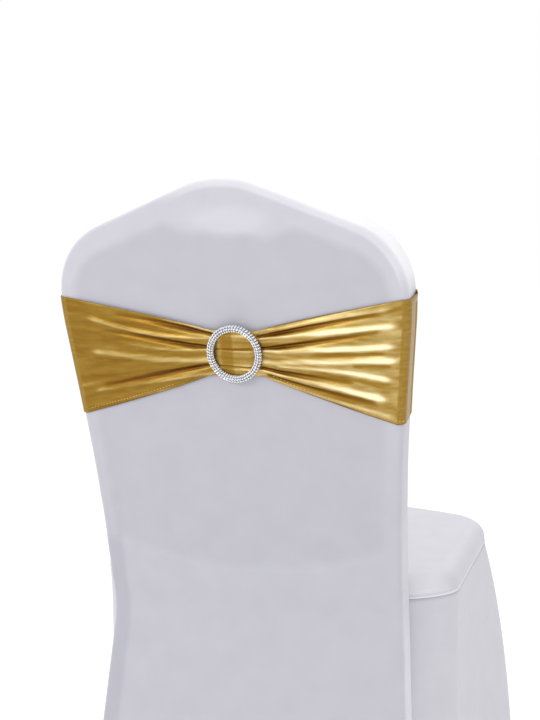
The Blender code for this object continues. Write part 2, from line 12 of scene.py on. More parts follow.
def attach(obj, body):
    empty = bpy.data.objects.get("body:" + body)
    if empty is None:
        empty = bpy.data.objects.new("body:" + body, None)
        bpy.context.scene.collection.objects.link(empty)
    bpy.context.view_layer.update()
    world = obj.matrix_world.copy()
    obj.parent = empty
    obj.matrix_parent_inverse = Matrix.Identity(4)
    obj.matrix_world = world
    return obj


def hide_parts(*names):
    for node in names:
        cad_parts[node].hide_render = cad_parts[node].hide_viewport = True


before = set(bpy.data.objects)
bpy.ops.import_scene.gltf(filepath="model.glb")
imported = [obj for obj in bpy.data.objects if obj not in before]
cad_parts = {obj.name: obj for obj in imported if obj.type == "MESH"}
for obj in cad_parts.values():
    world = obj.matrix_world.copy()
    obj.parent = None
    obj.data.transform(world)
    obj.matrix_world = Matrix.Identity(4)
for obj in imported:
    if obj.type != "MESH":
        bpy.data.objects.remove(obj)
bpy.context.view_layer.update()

# Cloth
COVER_THICKNESS = 0.0013
SASH_THICKNESS = 0.0010
SEAM_GAP = 0.0002

# Back sleeve
RECLINE = math.radians(13.94)
SPLAY = math.radians(10.5)
SEAT_LEVEL = 0.460
SLEEVE_DEPTH = 0.045
CROWN_PEAK = 0.4942
CROWN_SLOPE = 0.4026
PEAK_RADIUS = 0.118
SHOULDER_HALF_WIDTH = 0.2095
SHOULDER_RADIUS = 0.090
SHOULDER_LEVEL = 0.349
SHOULDER_STEPS = 18
SLOPE_ANGLE = math.atan(CROWN_SLOPE)
PEAK_CENTRE = CROWN_PEAK - PEAK_RADIUS / math.cos(SLOPE_ANGLE)
SHOULDER_X = SHOULDER_HALF_WIDTH - SHOULDER_RADIUS
SHOULDER_S = CROWN_PEAK - CROWN_SLOPE * SHOULDER_X - SHOULDER_RADIUS / math.cos(SLOPE_ANGLE)
# Range and number of halvings in which a place up the back is looked for
BACK_REACH = 0.60
HALVINGS = 30
RIM_RADIUS = 0.007
FRONT_RIM_RADIUS = 0.005
FRONT_LIP = 0.003
RIM_BOW = 0.0006
BEND_TOP = -0.040
BEND_LENGTH = 0.056
SKIRT_TOP = -0.10
SKIRT_CELL = 0.0075
# Line across the lower back where the seat's frame pushes the cloth out: its ends and its sag between them
RAIL_TOP = 0.036
RAIL_SAG = 0.029
RAIL_HALF_WIDTH = 0.165
RAIL_RAMP = 0.012
RAIL_STEP = 0.0012
PANEL_RECESS = 0.0028
PANEL_BORDER = 0.0205
CROWN_BORDER = 0.030
CROWN_BORDER_EXTRA = 0.026
CROWN_EXTRA_HALF_WIDTH = 0.035
CROWN_EXTRA_RAMP = 0.050
BORDER_RAMP = 0.015
BAND_MARGIN = 0.030
BAND_PULL = 0.85
FRONT_PAD_BULGE = 0.014
PAD_EDGE = 0.010
PAD_LOW_END = 0.12
PAD_FADE_START = 0.25
PAD_FADE_END = 0.43
SIDE_BLEND = 0.015
BACKREST_LOW = 0.03
BROAD_WAVE = 0.0005
BROAD_WAVE_SIZE = 0.060
FINE_WAVE = 0.0002
FINE_WAVE_SIZE = 0.022

# Hand-hole of the chair's back, which shows through the cloth as a lighter oval: a slight dip, and painted
# light where light comes through the hole
LENS_X = -0.008
LENS_S = 0.438
LENS_HALF_WIDTH = 0.047
LENS_HALF_HEIGHT = 0.019
LENS_DIP = 0.0008
LENS_CORE = 0.55
LENS_FADE = 0.65

# Lightness of the white cloth, from 0 (darkest) to 1; it paints the cloth's light and shade
# Painted shade on the back's field and painted light on its border, both rising towards the crown
FIELD_TONE_LOW = 0.08
FIELD_TONE_HIGH = 0.09
BORDER_TONE_LOW = 0.13
BORDER_TONE_HIGH = 0.235
TONE_RISE_START = 0.10
TONE_RISE_LENGTH = 0.28
# Painted highlight on the rim where it faces up, painted shade at its front edge, and a painted highlight
# along the crown's rim, fainter to the left
RIM_TONE_SIDE = 0.18
RIM_LIGHT_GAIN = 1.7
RIM_LIGHT_BASE = 0.35
FRONT_EDGE_SHADE = 0.003
CROWN_RIM_TONE = 0.50
CROWN_RIM_WIDTH = 0.009
CROWN_RIM_RAMP = 0.003
CROWN_RIM_LEFT_DROP = 0.40
CROWN_RIM_LEFT_REACH = 0.10
CROWN_RIM_FADE = 0.04
# Painted light on the oval over the hand-hole and below the rail line, and painted shade in the strip by the
# left leg
LENS_TONE = 0.36
BELOW_RAIL_TONE = 0.13
LEG_TONE_LEFT = 0.02
LEG_TONE_RIGHT = 0.13
LEG_WIDTH = 0.026
LEG_RAMP = 0.006
# The seat's top in painted light, with painted shade on its roll, lighter again towards the back
SEAT_TONE = 0.58
REAR_ROLL_TONE = 0.58
ROLL_TONE = 0.34
ROLL_SHADE_GAIN = 1.6
ROLL_SHADE_START = 0.6
REAR_LIGHT_START = 0.30
REAR_LIGHT_RAMP = 0.50
SKIRT_TONE = 0.34
BACKREST_EDGE_TONE = 0.30
BACKREST_EDGE_RAMP = 0.01

# Width of a rib and of the hem in the white knit. The rim counts as at least the limit away from its
# edge, so that it shows no hem
RIB_WIDTH = 0.0011
HEM_WIDTH = 0.014
HEM_MARK_LIMIT = 0.02

# Seat
SEAT_HALF_WIDTH = 0.238
SEAT_FRONT = -0.474
SEAT_FRONT_BOW = 0.048
SEAT_TOP = 0.456
SEAT_DOME = 0.0062
SEAT_ROLL = 0.024
SEAT_SEAM = 0.426
SEAT_CORNER_RADIUS = 0.045
REAR_CORNER_DEPTH = 0.066
REAR_CORNER_POWER = 1.8
SEAT_END_S = -0.03
SEAT_FRONT_STEPS = 26
SEAT_CORNER_STEPS = 24
SEAT_SIDE_STEPS = 34
SEAT_REAR_STEPS = 16
SEAT_ROLL_STEPS = 10
# The seat's edge ends in a narrow welt over the seam: places above the seam and out from the side, and their
# lightness, which paints a highlight along the welt
SEAT_WELT = (
    {"above": 0.0040, "out": 0.0000, "tone": 0.34},
    {"above": 0.0028, "out": 0.0004, "tone": 0.50},
    {"above": 0.0014, "out": 0.0011, "tone": 0.85},
    {"above": 0.0004, "out": 0.0008, "tone": 0.60},
)
SEAT_TOP_STEPS = 44

# Skirt
FLARE_SIDE = 0.055
FLARE_FRONT = 0.045
FLARE_LENGTH = 0.24
SIDE_ARCH = 0.110
FRONT_ARCH = 0.130
REAR_ARCH = 0.110
REAR_HEM_HALF_WIDTH = 0.200
FOOT_SHARE = 0.94
ARCH_POWER = 2.6
FOOT_LIFT = 0.0018
SKIRT_STEPS = 54

# Sash and its ring
SASH_LOW = 0.202
SASH_HIGH = 0.348
RING_X = -0.006
RING_S = 0.284
RING_RADIUS = 0.0335
RING_RIM = 0.0080
# The stone-set rim is drawn a little taller than wide
RING_TALL = 1.030
RING_WIDE = 0.985
RING_SECTION_HALF_WIDTH = 0.0031
RING_UNDERSIDE = 0.0060
RING_DEPTH = 0.0050
GATHER_HALF_HEIGHT = 0.0266
MOUTH_HALF_HEIGHT = 0.0278
SASH_SPREAD_POWER = 0.88
MOUTH_WAVE = 0.0008
MOUTH_WAVE_RATE = 420.0
SASH_LIFT = 0.0018
UNDER_RIM_LIFT = 0.0042
OVER_BAR_LIFT = 0.0056
SASH_SEAM_SHARE = 0.62
EAR_REACH = 0.0030
EAR_START = 0.90
EAR_LENGTH = 0.10
SASH_ROWS = 84
SASH_COLUMNS = 220

FRAME_SHIFT = 0.1795
CELL = 0.005

# Half-width of the back's side edge at heights s up the rear plane
BACK_SIDE = (
    {"s": -0.470, "half_width": 0.2130},
    {"s": -0.250, "half_width": 0.2000},
    {"s": -0.060, "half_width": 0.1878},
    {"s": 0.062, "half_width": 0.1898},
    {"s": 0.144, "half_width": 0.1936},
    {"s": 0.227, "half_width": 0.2000},
    {"s": 0.330, "half_width": 0.2095},
    {"s": 0.560, "half_width": 0.2095},
)


def crease_line(x, s, rise, width):
    """One row of the table of creases."""
    return {"x": x, "s": s, "rise": rise, "width": width}


# Creases of the sash's rear half. Each runs from the ring outwards through three places (x, s). Its rise
# (negative for a valley) and its half-width are given at the ring and at the outer end.
SASH_CREASES = (
    crease_line((-0.030, -0.110, -0.198), (0.3075, 0.3235, 0.3395), (0.0014, 0.0010), (0.0022, 0.0034)),
    crease_line((-0.036, -0.110, -0.186), (0.3035, 0.3190, 0.3330), (-0.0052, -0.0014), (0.0019, 0.0034)),
    crease_line((-0.036, -0.120, -0.206), (0.3018, 0.3107, 0.3203), (0.0016, 0.0024), (0.0018, 0.0046)),
    crease_line((-0.038, -0.112, -0.186), (0.2894, 0.3006, 0.3135), (-0.0054, -0.0014), (0.0021, 0.0037)),
    crease_line((-0.038, -0.120, -0.201), (0.2874, 0.2905, 0.2957), (0.0016, 0.0024), (0.0020, 0.0050)),
    crease_line((-0.100, -0.146, -0.186), (0.2835, 0.2848, 0.2862), (-0.0006, -0.0012), (0.0019, 0.0021)),
    crease_line((-0.042, -0.120, -0.203), (0.2738, 0.2766, 0.2784), (0.0014, 0.0024), (0.0030, 0.0046)),
    crease_line((-0.145, -0.169, -0.190), (0.2712, 0.2714, 0.2718), (-0.0008, -0.0012), (0.0016, 0.0018)),
    crease_line((-0.060, -0.125, -0.193), (0.2695, 0.2655, 0.2543), (0.0012, 0.0024), (0.0018, 0.0044)),
    crease_line((-0.036, -0.090, -0.150), (0.2662, 0.2578, 0.2515), (-0.0050, -0.0014), (0.0021, 0.0040)),
    crease_line((-0.036, -0.110, -0.187), (0.2642, 0.2484, 0.2303), (0.0014, 0.0028), (0.0016, 0.0056)),
    crease_line((-0.046, -0.115, -0.178), (0.2568, 0.2385, 0.2235), (-0.0042, -0.0014), (0.0019, 0.0032)),
    crease_line((-0.030, -0.115, -0.200), (0.2575, 0.2308, 0.2093), (0.0012, 0.0010), (0.0018, 0.0030)),
    crease_line((0.020, 0.100, 0.190), (0.3105, 0.3286, 0.3440), (0.0014, 0.0010), (0.0024, 0.0040)),
    crease_line((0.020, 0.075, 0.150), (0.3052, 0.3170, 0.3300), (-0.0052, -0.0010), (0.0021, 0.0037)),
    crease_line((0.022, 0.110, 0.186), (0.3015, 0.3080, 0.3265), (0.0016, 0.0024), (0.0018, 0.0036)),
    crease_line((0.022, 0.085, 0.170), (0.2895, 0.2980, 0.3110), (-0.0052, -0.0012), (0.0021, 0.0037)),
    crease_line((0.022, 0.090, 0.145), (0.2870, 0.2890, 0.2975), (0.0016, 0.0010), (0.0020, 0.0030)),
    crease_line((0.024, 0.095, 0.185), (0.2745, 0.2760, 0.2832), (0.0018, 0.0022), (0.0036, 0.0050)),
    crease_line((0.125, 0.150, 0.176), (0.2722, 0.2722, 0.2724), (-0.0010, -0.0010), (0.0014, 0.0016)),
    crease_line((0.024, 0.090, 0.176), (0.2685, 0.2556, 0.2365), (-0.0054, -0.0014), (0.0024, 0.0056)),
    crease_line((0.022, 0.100, 0.187), (0.2590, 0.2462, 0.2303), (0.0016, 0.0018), (0.0024, 0.0040)),
    crease_line((0.022, 0.110, 0.194), (0.2535, 0.2290, 0.2100), (0.0010, 0.0008), (0.0016, 0.0022)),
)
SASH_PUFF = 0.0054
PUFF_EDGE_SHARE = 0.06
PUFF_FADE_START = 0.25
# Share of a crease's rise that is built; the rest of it shows only as painted light and shade
CREASE_RELIEF = 0.80
CREASE_START = -0.06
CREASE_END_FADE = 0.12
GATHER_LINES = 10
GATHER_HEIGHT = 0.0002
GATHER_REACH = 0.030
RIPPLE_HEIGHT = 0.0004
RIPPLE_SIZE = 0.014
FRONT_WRINKLE = 0.0006
LARGEST_DIP = 0.0010
UNDER_RIM_SHARE = 0.55
UNDER_RIM_LOW = 0.0008
UNDER_RIM_HIGH = 0.0054
# Tone of the sash: painted highlights on ridges and painted shade in valleys, ridges lighter on the right,
# the left side darker and the right lighter; streaks at random
TONE_PER_RISE = 120.0
RIGHT_RIDGE_GAIN = 0.75
RIGHT_GAIN_START = 0.05
RIGHT_GAIN_LENGTH = 0.09
RIDGE_SHARPNESS = 1.5
VALLEY_SHARPNESS = 2.2
BASE_TONE = 0.525
LEFT_TONE_DROP = 0.125
LEFT_TONE_LENGTH = 0.12
RIGHT_TONE_RISE = 0.03
RIGHT_TONE_START = 0.12
RIGHT_TONE_LENGTH = 0.06
STREAK_TONE = 0.16
SIDE_STRIP_TONE = 0.50

# Folds of the sash inside the ring's window, from one side of the window to the other
INNER_FOLDS = (
    {"s": (0.2882, 0.2890), "rise": (-0.0020, -0.0030), "width": (0.0010, 0.0013)},
    {"s": (0.2862, 0.2868), "rise": (0.0000, 0.0016), "width": (0.0010, 0.0013)},
    {"s": (0.3055, 0.3040), "rise": (0.0004, 0.0018), "width": (0.0012, 0.0016)},
    {"s": (0.2975, 0.2970), "rise": (-0.0004, -0.0008), "width": (0.0014, 0.0014)},
    {"s": (0.2715, 0.2690), "rise": (0.0002, 0.0016), "width": (0.0012, 0.0013)},
    {"s": (0.2690, 0.2664), "rise": (-0.0008, -0.0016), "width": (0.0008, 0.0009)},
    {"s": (0.2655, 0.2636), "rise": (0.0002, 0.0018), "width": (0.0010, 0.0014)},
    {"s": (0.2790, 0.2775), "rise": (-0.0004, -0.0006), "width": (0.0016, 0.0018)},
)
INNER_HALF_WIDTH = 0.022
INNER_RAMP = 0.011
INNER_MARGIN = 0.002
INNER_PUFF = 0.0010
INNER_TONE = 0.43
# Painted light on the window's left side, against the ring's shadow and dark reflection there
INNER_LEFT_RISE = 0.20
INNER_LEFT_START = 0.012
INNER_LEFT_RAMP = 0.010
# Step that the hidden bar makes in the cloth over it, and the painted highlight along it
BAR_EDGE = 0.004
BAR_RAMP = 0.003
BAR_STEP = 0.0006
BAR_TONE = 0.11
MOUTH_RAMP = 0.022

# Stitches along the sash's lower hem
STITCH_RUNS = (
    {"start": -0.198, "end": -0.050},
    {"start": 0.075, "end": 0.188},
)
STITCH_PITCH = 0.0040
STITCH_LENGTH = 0.0018
STITCH_RADIUS = 0.00048
STITCH_INSET = 0.0050
STITCH_RISE = 0.3
STITCH_SIDES = 6
# Along a stitch and out from its middle line
STITCH_PROFILE = ((0.0, 0.35), (0.25, 1.0), (0.75, 1.0), (1.0, 0.35))

# Stones of the ring, in slanting strands across its rim; places round the rim's section in degrees
STRANDS = 58
STRAND_SLANT = 0.30
STONE_PLACES = (-30.0, 30.0, 90.0, 150.0, 210.0)
STONE_HALF_LENGTH = 0.00190
STONE_HALF_WIDTH = 0.00104
STONE_HEIGHT = 0.0012
STONE_SIDES = 8
STONE_SINK = 0.0002
STONE_TILT = 0.18
# Share of a stone's length and width, and of its height, from its base to its flat top
STONE_LEVELS = ((1.0, 0.0), (0.94, 0.45), (0.55, 1.0))
RING_TURNS = 300
RING_SECTION = 20
GROOVE_DEPTH = 0.0003
SETTING_INSET = 0.0007

# Camera; the focal length and the picture's height are in pixels of the photograph
CAMERA_PLACE = (-0.4447, 1.5420, 0.8368)
CAMERA_YAW = math.radians(17.10)
CAMERA_PITCH = math.radians(4.63)
FOCAL_PIXELS = 1190.0
PICTURE_HEIGHT_PIXELS = 720.0
SENSOR_SIZE = 36.0


def mix(start, end, share):
    return start + (end - start) * share


def smooth(value):
    value = min(max(value, 0.0), 1.0)
    return value * value * (3.0 - 2.0 * value)


def lookup(table, key, column, value):
    """Straight-line reading of a column at a value of the key column."""
    if value <= table[0][key]:
        return table[0][column]
    for lower, upper in zip(table, table[1:]):
        if value <= upper[key]:
            share = (value - lower[key]) / (upper[key] - lower[key])
            return mix(lower[column], upper[column], share)
    return table[-1][column]


def back_point(x, s, outward):
    """Point of the back sleeve: x across, s up the rear face, outward from that face."""
    if s >= BEND_TOP:
        angle = RECLINE
        y = s * math.sin(RECLINE)
        z = SEAT_LEVEL + s * math.cos(RECLINE)
    else:
        radius = BEND_LENGTH / (RECLINE + SPLAY)
        angle = max(RECLINE - (BEND_TOP - s) / radius, -SPLAY)
        below = max(BEND_TOP - BEND_LENGTH - s, 0.0)
        y = BEND_TOP * math.sin(RECLINE) - radius * (math.cos(angle) - math.cos(RECLINE))
        z = SEAT_LEVEL + BEND_TOP * math.cos(RECLINE) - radius * (math.sin(RECLINE) - math.sin(angle))
        y += below * math.sin(SPLAY)
        z -= below * math.cos(SPLAY)
    y += outward * math.cos(angle)
    z -= outward * math.sin(angle)
    return (x, y + FRAME_SHIFT, z)


def back_s_at_height(x, height, outward=0.0):
    """The s at which the back reaches a height, found by halving."""
    low, high = -BACK_REACH, BACK_REACH
    for _ in range(HALVINGS):
        middle = (low + high) / 2.0
        if back_point(x, middle, outward)[2] < height:
            low = middle
        else:
            high = middle
    return low


def side_half_width(s):
    """Half-width of the back at s, rounded where the table's straight stretches meet."""
    total = 0.0
    for offset in (-SIDE_BLEND, 0.0, SIDE_BLEND):
        total += lookup(BACK_SIDE, "s", "half_width", s + offset)
    return total / 3.0


def crown_height(x, inset):
    """Top outline of the back at x, moved inwards by an inset: peak arc, straight slope, shoulder arc."""
    x = abs(x)
    peak_radius = PEAK_RADIUS - inset
    if x <= peak_radius * math.sin(SLOPE_ANGLE):
        return PEAK_CENTRE + math.sqrt(peak_radius ** 2 - x ** 2)
    radius = SHOULDER_RADIUS - inset
    if x < SHOULDER_X + radius * math.sin(SLOPE_ANGLE):
        return CROWN_PEAK - CROWN_SLOPE * x - inset / math.cos(SLOPE_ANGLE)
    return SHOULDER_S + math.sqrt(max(radius ** 2 - (x - SHOULDER_X) ** 2, 0.0))


def field_share(x, s):
    """0 on the border that the chair's frame pushes out, 1 on the field inside it."""
    side = side_half_width(s) - PANEL_BORDER - abs(x)
    distance, facing_up = crown_distance(x, s)
    middle = 1.0 - smooth((abs(x - LENS_X) - CROWN_EXTRA_HALF_WIDTH) / CROWN_EXTRA_RAMP)
    top = distance - mix(PANEL_BORDER, CROWN_BORDER, facing_up) - CROWN_BORDER_EXTRA * middle
    bottom = s - rail_line(x)
    return smooth(min(side, top, bottom) / BORDER_RAMP + 0.5)


def lens_share(x, s):
    """1 in the middle of the lighter oval below the crown, fading to 0 at its edge."""
    reach = math.hypot((x - LENS_X) / LENS_HALF_WIDTH, (s - LENS_S) / LENS_HALF_HEIGHT)
    return 1.0 - smooth((reach - LENS_CORE) / LENS_FADE)


def rail_line(x):
    """Height of the line above which the seat's frame no longer pushes the cloth out."""
    return RAIL_TOP - RAIL_SAG * (1.0 - min(abs(x) / RAIL_HALF_WIDTH, 1.0) ** 2)


def rail_share(x, s):
    """1 below the rail line, 0 above it."""
    return 1.0 - smooth((s - rail_line(x)) / RAIL_RAMP + 0.5)


def crown_distance(x, s):
    """Distance of a place from the crown's outline, and how far the outline faces up there."""
    x = abs(x)
    if s > PEAK_CENTRE and x < math.tan(SLOPE_ANGLE) * (s - PEAK_CENTRE):
        return PEAK_RADIUS - math.hypot(x, s - PEAK_CENTRE), 1.0
    if x > SHOULDER_X and x - SHOULDER_X > math.tan(SLOPE_ANGLE) * (s - SHOULDER_S):
        up = max(s - SHOULDER_S, 0.0)
        facing_up = math.atan2(up, x - SHOULDER_X) / (math.pi / 2.0 - SLOPE_ANGLE)
        return SHOULDER_RADIUS - math.hypot(x - SHOULDER_X, up), facing_up
    return (CROWN_PEAK - CROWN_SLOPE * x - s) * math.cos(SLOPE_ANGLE), 1.0


def soft_noise(x, s, size, seed):
    return noise.noise(Vector((x / size, s / size, seed)))


def back_relief(x, s):
    """Low relief of the rear face: recessed field, dipped oval and soft unevenness.

    The sash's pull lifts the field under it.
    """
    low, high = sash_edges(x)
    banded = smooth((min(s - low, high - s) + BAND_MARGIN) / BAND_MARGIN)
    relief = -PANEL_RECESS * field_share(x, s) * (1.0 - BAND_PULL * banded)
    relief -= LENS_DIP * lens_share(x, s)
    relief += RAIL_STEP * rail_share(x, s) * smooth((s + RAIL_RAMP - BEND_TOP) / RAIL_TOP)
    relief += (BROAD_WAVE * soft_noise(x, s, BROAD_WAVE_SIZE, 3.0)
               + FINE_WAVE * soft_noise(x, s, FINE_WAVE_SIZE, 8.0))
    return relief


def hem_height(share, arch):
    """Height of the hem between two feet, where share runs from -1 to 1."""
    return FOOT_LIFT + arch * (1.0 - min(abs(share) / FOOT_SHARE, 1.0) ** ARCH_POWER)


class Sheet:
    """Collects the points of one piece of cloth with their marks, and turns them into a thin closed mesh.

    A point is (position, along, up, edge, tone): its place on the flat cloth along and up, its distance from
    the nearest hem or seam, and how light its cloth looks, which is mostly painted light and shade.
    """

    MARKS = ("along", "up", "edge", "tone")

    def __init__(self):
        self.points = []
        self.faces = []
        self.index = {}

    def point(self, entry):
        key = tuple(round(value, 6) for value in entry[0])
        if key not in self.index:
            self.index[key] = len(self.points)
            self.points.append(entry)
        return self.index[key]

    def rows(self, rows):
        """Adds quads between neighbouring rows of points."""
        for lower, upper in zip(rows, rows[1:]):
            for left in range(len(lower) - 1):
                face = []
                for corner in (lower[left], lower[left + 1], upper[left + 1], upper[left]):
                    vertex = self.point(corner)
                    if vertex not in face:
                        face.append(vertex)
                if len(face) > 2:
                    self.faces.append(face)

    def make(self, name, surface, thickness):
        mesh = bpy.data.meshes.new(name)
        mesh.from_pydata([entry[0] for entry in self.points], [], self.faces)
        for number, mark in enumerate(self.MARKS):
            layer = mesh.attributes.new(mark, "FLOAT", "POINT")
            layer.data.foreach_set("value", [entry[number + 1] for entry in self.points])
        mesh.materials.append(surface)
        mesh.shade_smooth()
        piece = bpy.data.objects.new(name, mesh)
        bpy.context.scene.collection.objects.link(piece)
        cloth = piece.modifiers.new("cloth", "SOLIDIFY")
        cloth.thickness = thickness
        cloth.offset = -1.0
        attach(piece, "root")
        return piece


def mirrored(half):
    """A list of positive values with its mirror image before it."""
    return [-value for value in reversed(half[1:])] + list(half)


def steps(start, end, count):
    return [mix(start, end, step / count) for step in range(count + 1)]


def back_columns():
    """Shares of the back's half-width, even up to the shoulder and then following its arc."""
    edge = SHOULDER_HALF_WIDTH - RIM_RADIUS
    half = []
    straight_end = SHOULDER_X + (SHOULDER_RADIUS - RIM_RADIUS) * math.sin(SLOPE_ANGLE)
    for x in steps(0.0, straight_end, round(straight_end / CELL)):
        half.append(x / edge)
    for angle in steps(SLOPE_ANGLE, math.pi / 2.0, SHOULDER_STEPS)[1:]:
        half.append((SHOULDER_X + (SHOULDER_RADIUS - RIM_RADIUS) * math.sin(angle)) / edge)
    return mirrored(half)


def back_rows():
    """Rows of (share, s) pairs of the rear face, from the hem to the crown, inside the rim's fillet."""
    columns = back_columns()
    rows = []
    skirt_rows = round((SEAT_LEVEL + SKIRT_TOP) / SKIRT_CELL)
    hems = [back_s_at_height(share * REAR_HEM_HALF_WIDTH, hem_height(share, REAR_ARCH)) for share in columns]
    for row in range(skirt_rows):
        rows.append([(share, mix(hem, SKIRT_TOP, row / skirt_rows)) for share, hem in zip(columns, hems)])
    for s in steps(SKIRT_TOP, SHOULDER_LEVEL, round((SHOULDER_LEVEL - SKIRT_TOP) / CELL)):
        rows.append([(share, s) for share in columns])
    crown_rows = round((CROWN_PEAK - SHOULDER_LEVEL) / CELL)
    for row in range(1, crown_rows + 1):
        line = []
        for share in columns:
            x = share * (SHOULDER_HALF_WIDTH - RIM_RADIUS)
            top = max(crown_height(x, RIM_RADIUS), SHOULDER_LEVEL)
            line.append((share, mix(SHOULDER_LEVEL, top, row / crown_rows)))
        rows.append(line)
    return rows, len(rows) - crown_rows


def direction(line, index):
    """Unit direction of a line of points at one of them."""
    before = line[max(index - 1, 0)]
    after = line[min(index + 1, len(line) - 1)]
    along = (after[0] - before[0], after[1] - before[1])
    length = math.hypot(*along)
    return along[0] / length, along[1] / length


def back_outline(rows, side_rows):
    """Edge of the rear face from one foot over the crown to the other, with its sideways direction."""
    line = []
    for row in rows[:side_rows - 1]:
        share, s = row[0]
        line.append((share * (side_half_width(s) - RIM_RADIUS), s))
    for share, s in rows[-1]:
        line.append((share * (SHOULDER_HALF_WIDTH - RIM_RADIUS), s))
    for row in reversed(rows[:side_rows - 1]):
        share, s = row[-1]
        line.append((share * (side_half_width(s) - RIM_RADIUS), s))
    outline = []
    for index, (x, s) in enumerate(line):
        along_x, along_s = direction(line, index)
        outline.append((x, s, -along_s, along_x))
    return outline


def rim_profile():
    """Steps of the rim from the rear face round to the front edge: sideways from the face, and outward."""
    profile = []
    for angle in steps(0.0, math.pi / 2.0, 6):
        profile.append((RIM_RADIUS * math.sin(angle), -RIM_RADIUS * (1.0 - math.cos(angle))))
    for part in steps(0.0, 1.0, 6)[1:-1]:
        bow = RIM_BOW * math.sin(math.pi * part)
        profile.append((RIM_RADIUS + bow, mix(-RIM_RADIUS, -SLEEVE_DEPTH + FRONT_RIM_RADIUS, part)))
    for angle in steps(0.0, math.pi / 2.0, 5):
        sideways = RIM_RADIUS - FRONT_RIM_RADIUS * (1.0 - math.cos(angle))
        profile.append((sideways, -SLEEVE_DEPTH + FRONT_RIM_RADIUS * (1.0 - math.sin(angle))))
    profile.append((RIM_RADIUS - FRONT_RIM_RADIUS - FRONT_LIP, -SLEEVE_DEPTH))
    return profile


def back_tone(x, s):
    """Painted light and shade of the rear cloth: the field in shade; the border, the oval and the cloth
    below the rail line lighter; more light towards the crown, a darker strip by the left leg and a highlight
    along the crown's rim.
    """
    high = smooth((s - TONE_RISE_START) / TONE_RISE_LENGTH)
    border = mix(BORDER_TONE_LOW, BORDER_TONE_HIGH, high)
    tone = mix(border, mix(FIELD_TONE_LOW, FIELD_TONE_HIGH, high), field_share(x, s))
    tone = mix(tone, LENS_TONE, lens_share(x, s))
    below = rail_share(x, s)
    tone = mix(tone, BELOW_RAIL_TONE, below)
    # Painted shade in the strip by the left leg
    leg = smooth((abs(x) - (side_half_width(s) - LEG_WIDTH)) / LEG_RAMP)
    tone = mix(tone, LEG_TONE_LEFT if x > 0.0 else LEG_TONE_RIGHT, below * leg)
    # Painted highlight along the crown's rim, fainter to the left
    left = 1.0 - CROWN_RIM_LEFT_DROP * smooth(x / CROWN_RIM_LEFT_REACH)
    rim = smooth((CROWN_RIM_WIDTH * left - crown_distance(x, s)[0]) / CROWN_RIM_RAMP + 0.5)
    rim *= smooth((s - SHOULDER_LEVEL) / CROWN_RIM_FADE) * left
    return mix(tone, CROWN_RIM_TONE, rim)


def make_back(white):
    """Rear face, border and rim of the back in one panel, from the crown down to the rear hem."""
    sheet = Sheet()
    rows, side_rows = back_rows()
    hem_s = {}
    face = []
    for line in rows:
        points = []
        for share, s in line:
            x = share * (side_half_width(min(s, SHOULDER_LEVEL)) - RIM_RADIUS)
            hem_s.setdefault(share, s)
            place = back_point(x, s, back_relief(x, s))
            points.append((place, x, s, s - hem_s[share], back_tone(x, s)))
        face.append(list(reversed(points)))
    sheet.rows(face)
    outline = back_outline(rows, side_rows)
    rim = []
    for sideways, outward in rim_profile():
        line = []
        for place, (x, s, side_x, side_s) in enumerate(outline):
            if place in (0, len(outline) - 1):
                foot_x = x + sideways * side_x
                position = back_point(foot_x, back_s_at_height(foot_x, FOOT_LIFT, outward), outward)
            else:
                relief = back_relief(x, s) * max(1.0 + outward / RIM_RADIUS, 0.0)
                position = back_point(x + sideways * side_x, s + sideways * side_s, outward + relief)
            edge = SLEEVE_DEPTH + outward
            # Painted highlight on the rim where it faces up, and painted shade at its front edge
            tone = mix(RIM_TONE_SIDE, 1.0, smooth(RIM_LIGHT_GAIN * side_s + RIM_LIGHT_BASE))
            tone = mix(back_tone(x, s), tone, smooth(-outward / RIM_RADIUS))
            tone *= smooth(edge / FRONT_EDGE_SHADE)
            along = x - outward * math.copysign(1.0, x)
            line.append((position, along, s, max(edge, HEM_MARK_LIMIT), tone))
        rim.append(line)
    sheet.rows(list(reversed(rim)))
    piece = sheet.make("cover_back", white, COVER_THICKNESS)
    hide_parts("back_panel")
    return piece


def pad_bulge(x, s):
    """How far the padded backrest pushes the sleeve's front panel forward."""
    side = 1.0 - min(abs(x) / (side_half_width(s) - PAD_EDGE), 1.0) ** 2
    top = 1.0 - smooth((s - PAD_FADE_START) / (PAD_FADE_END - PAD_FADE_START))
    low = smooth(s / PAD_LOW_END)
    return FRONT_PAD_BULGE * side * top * low


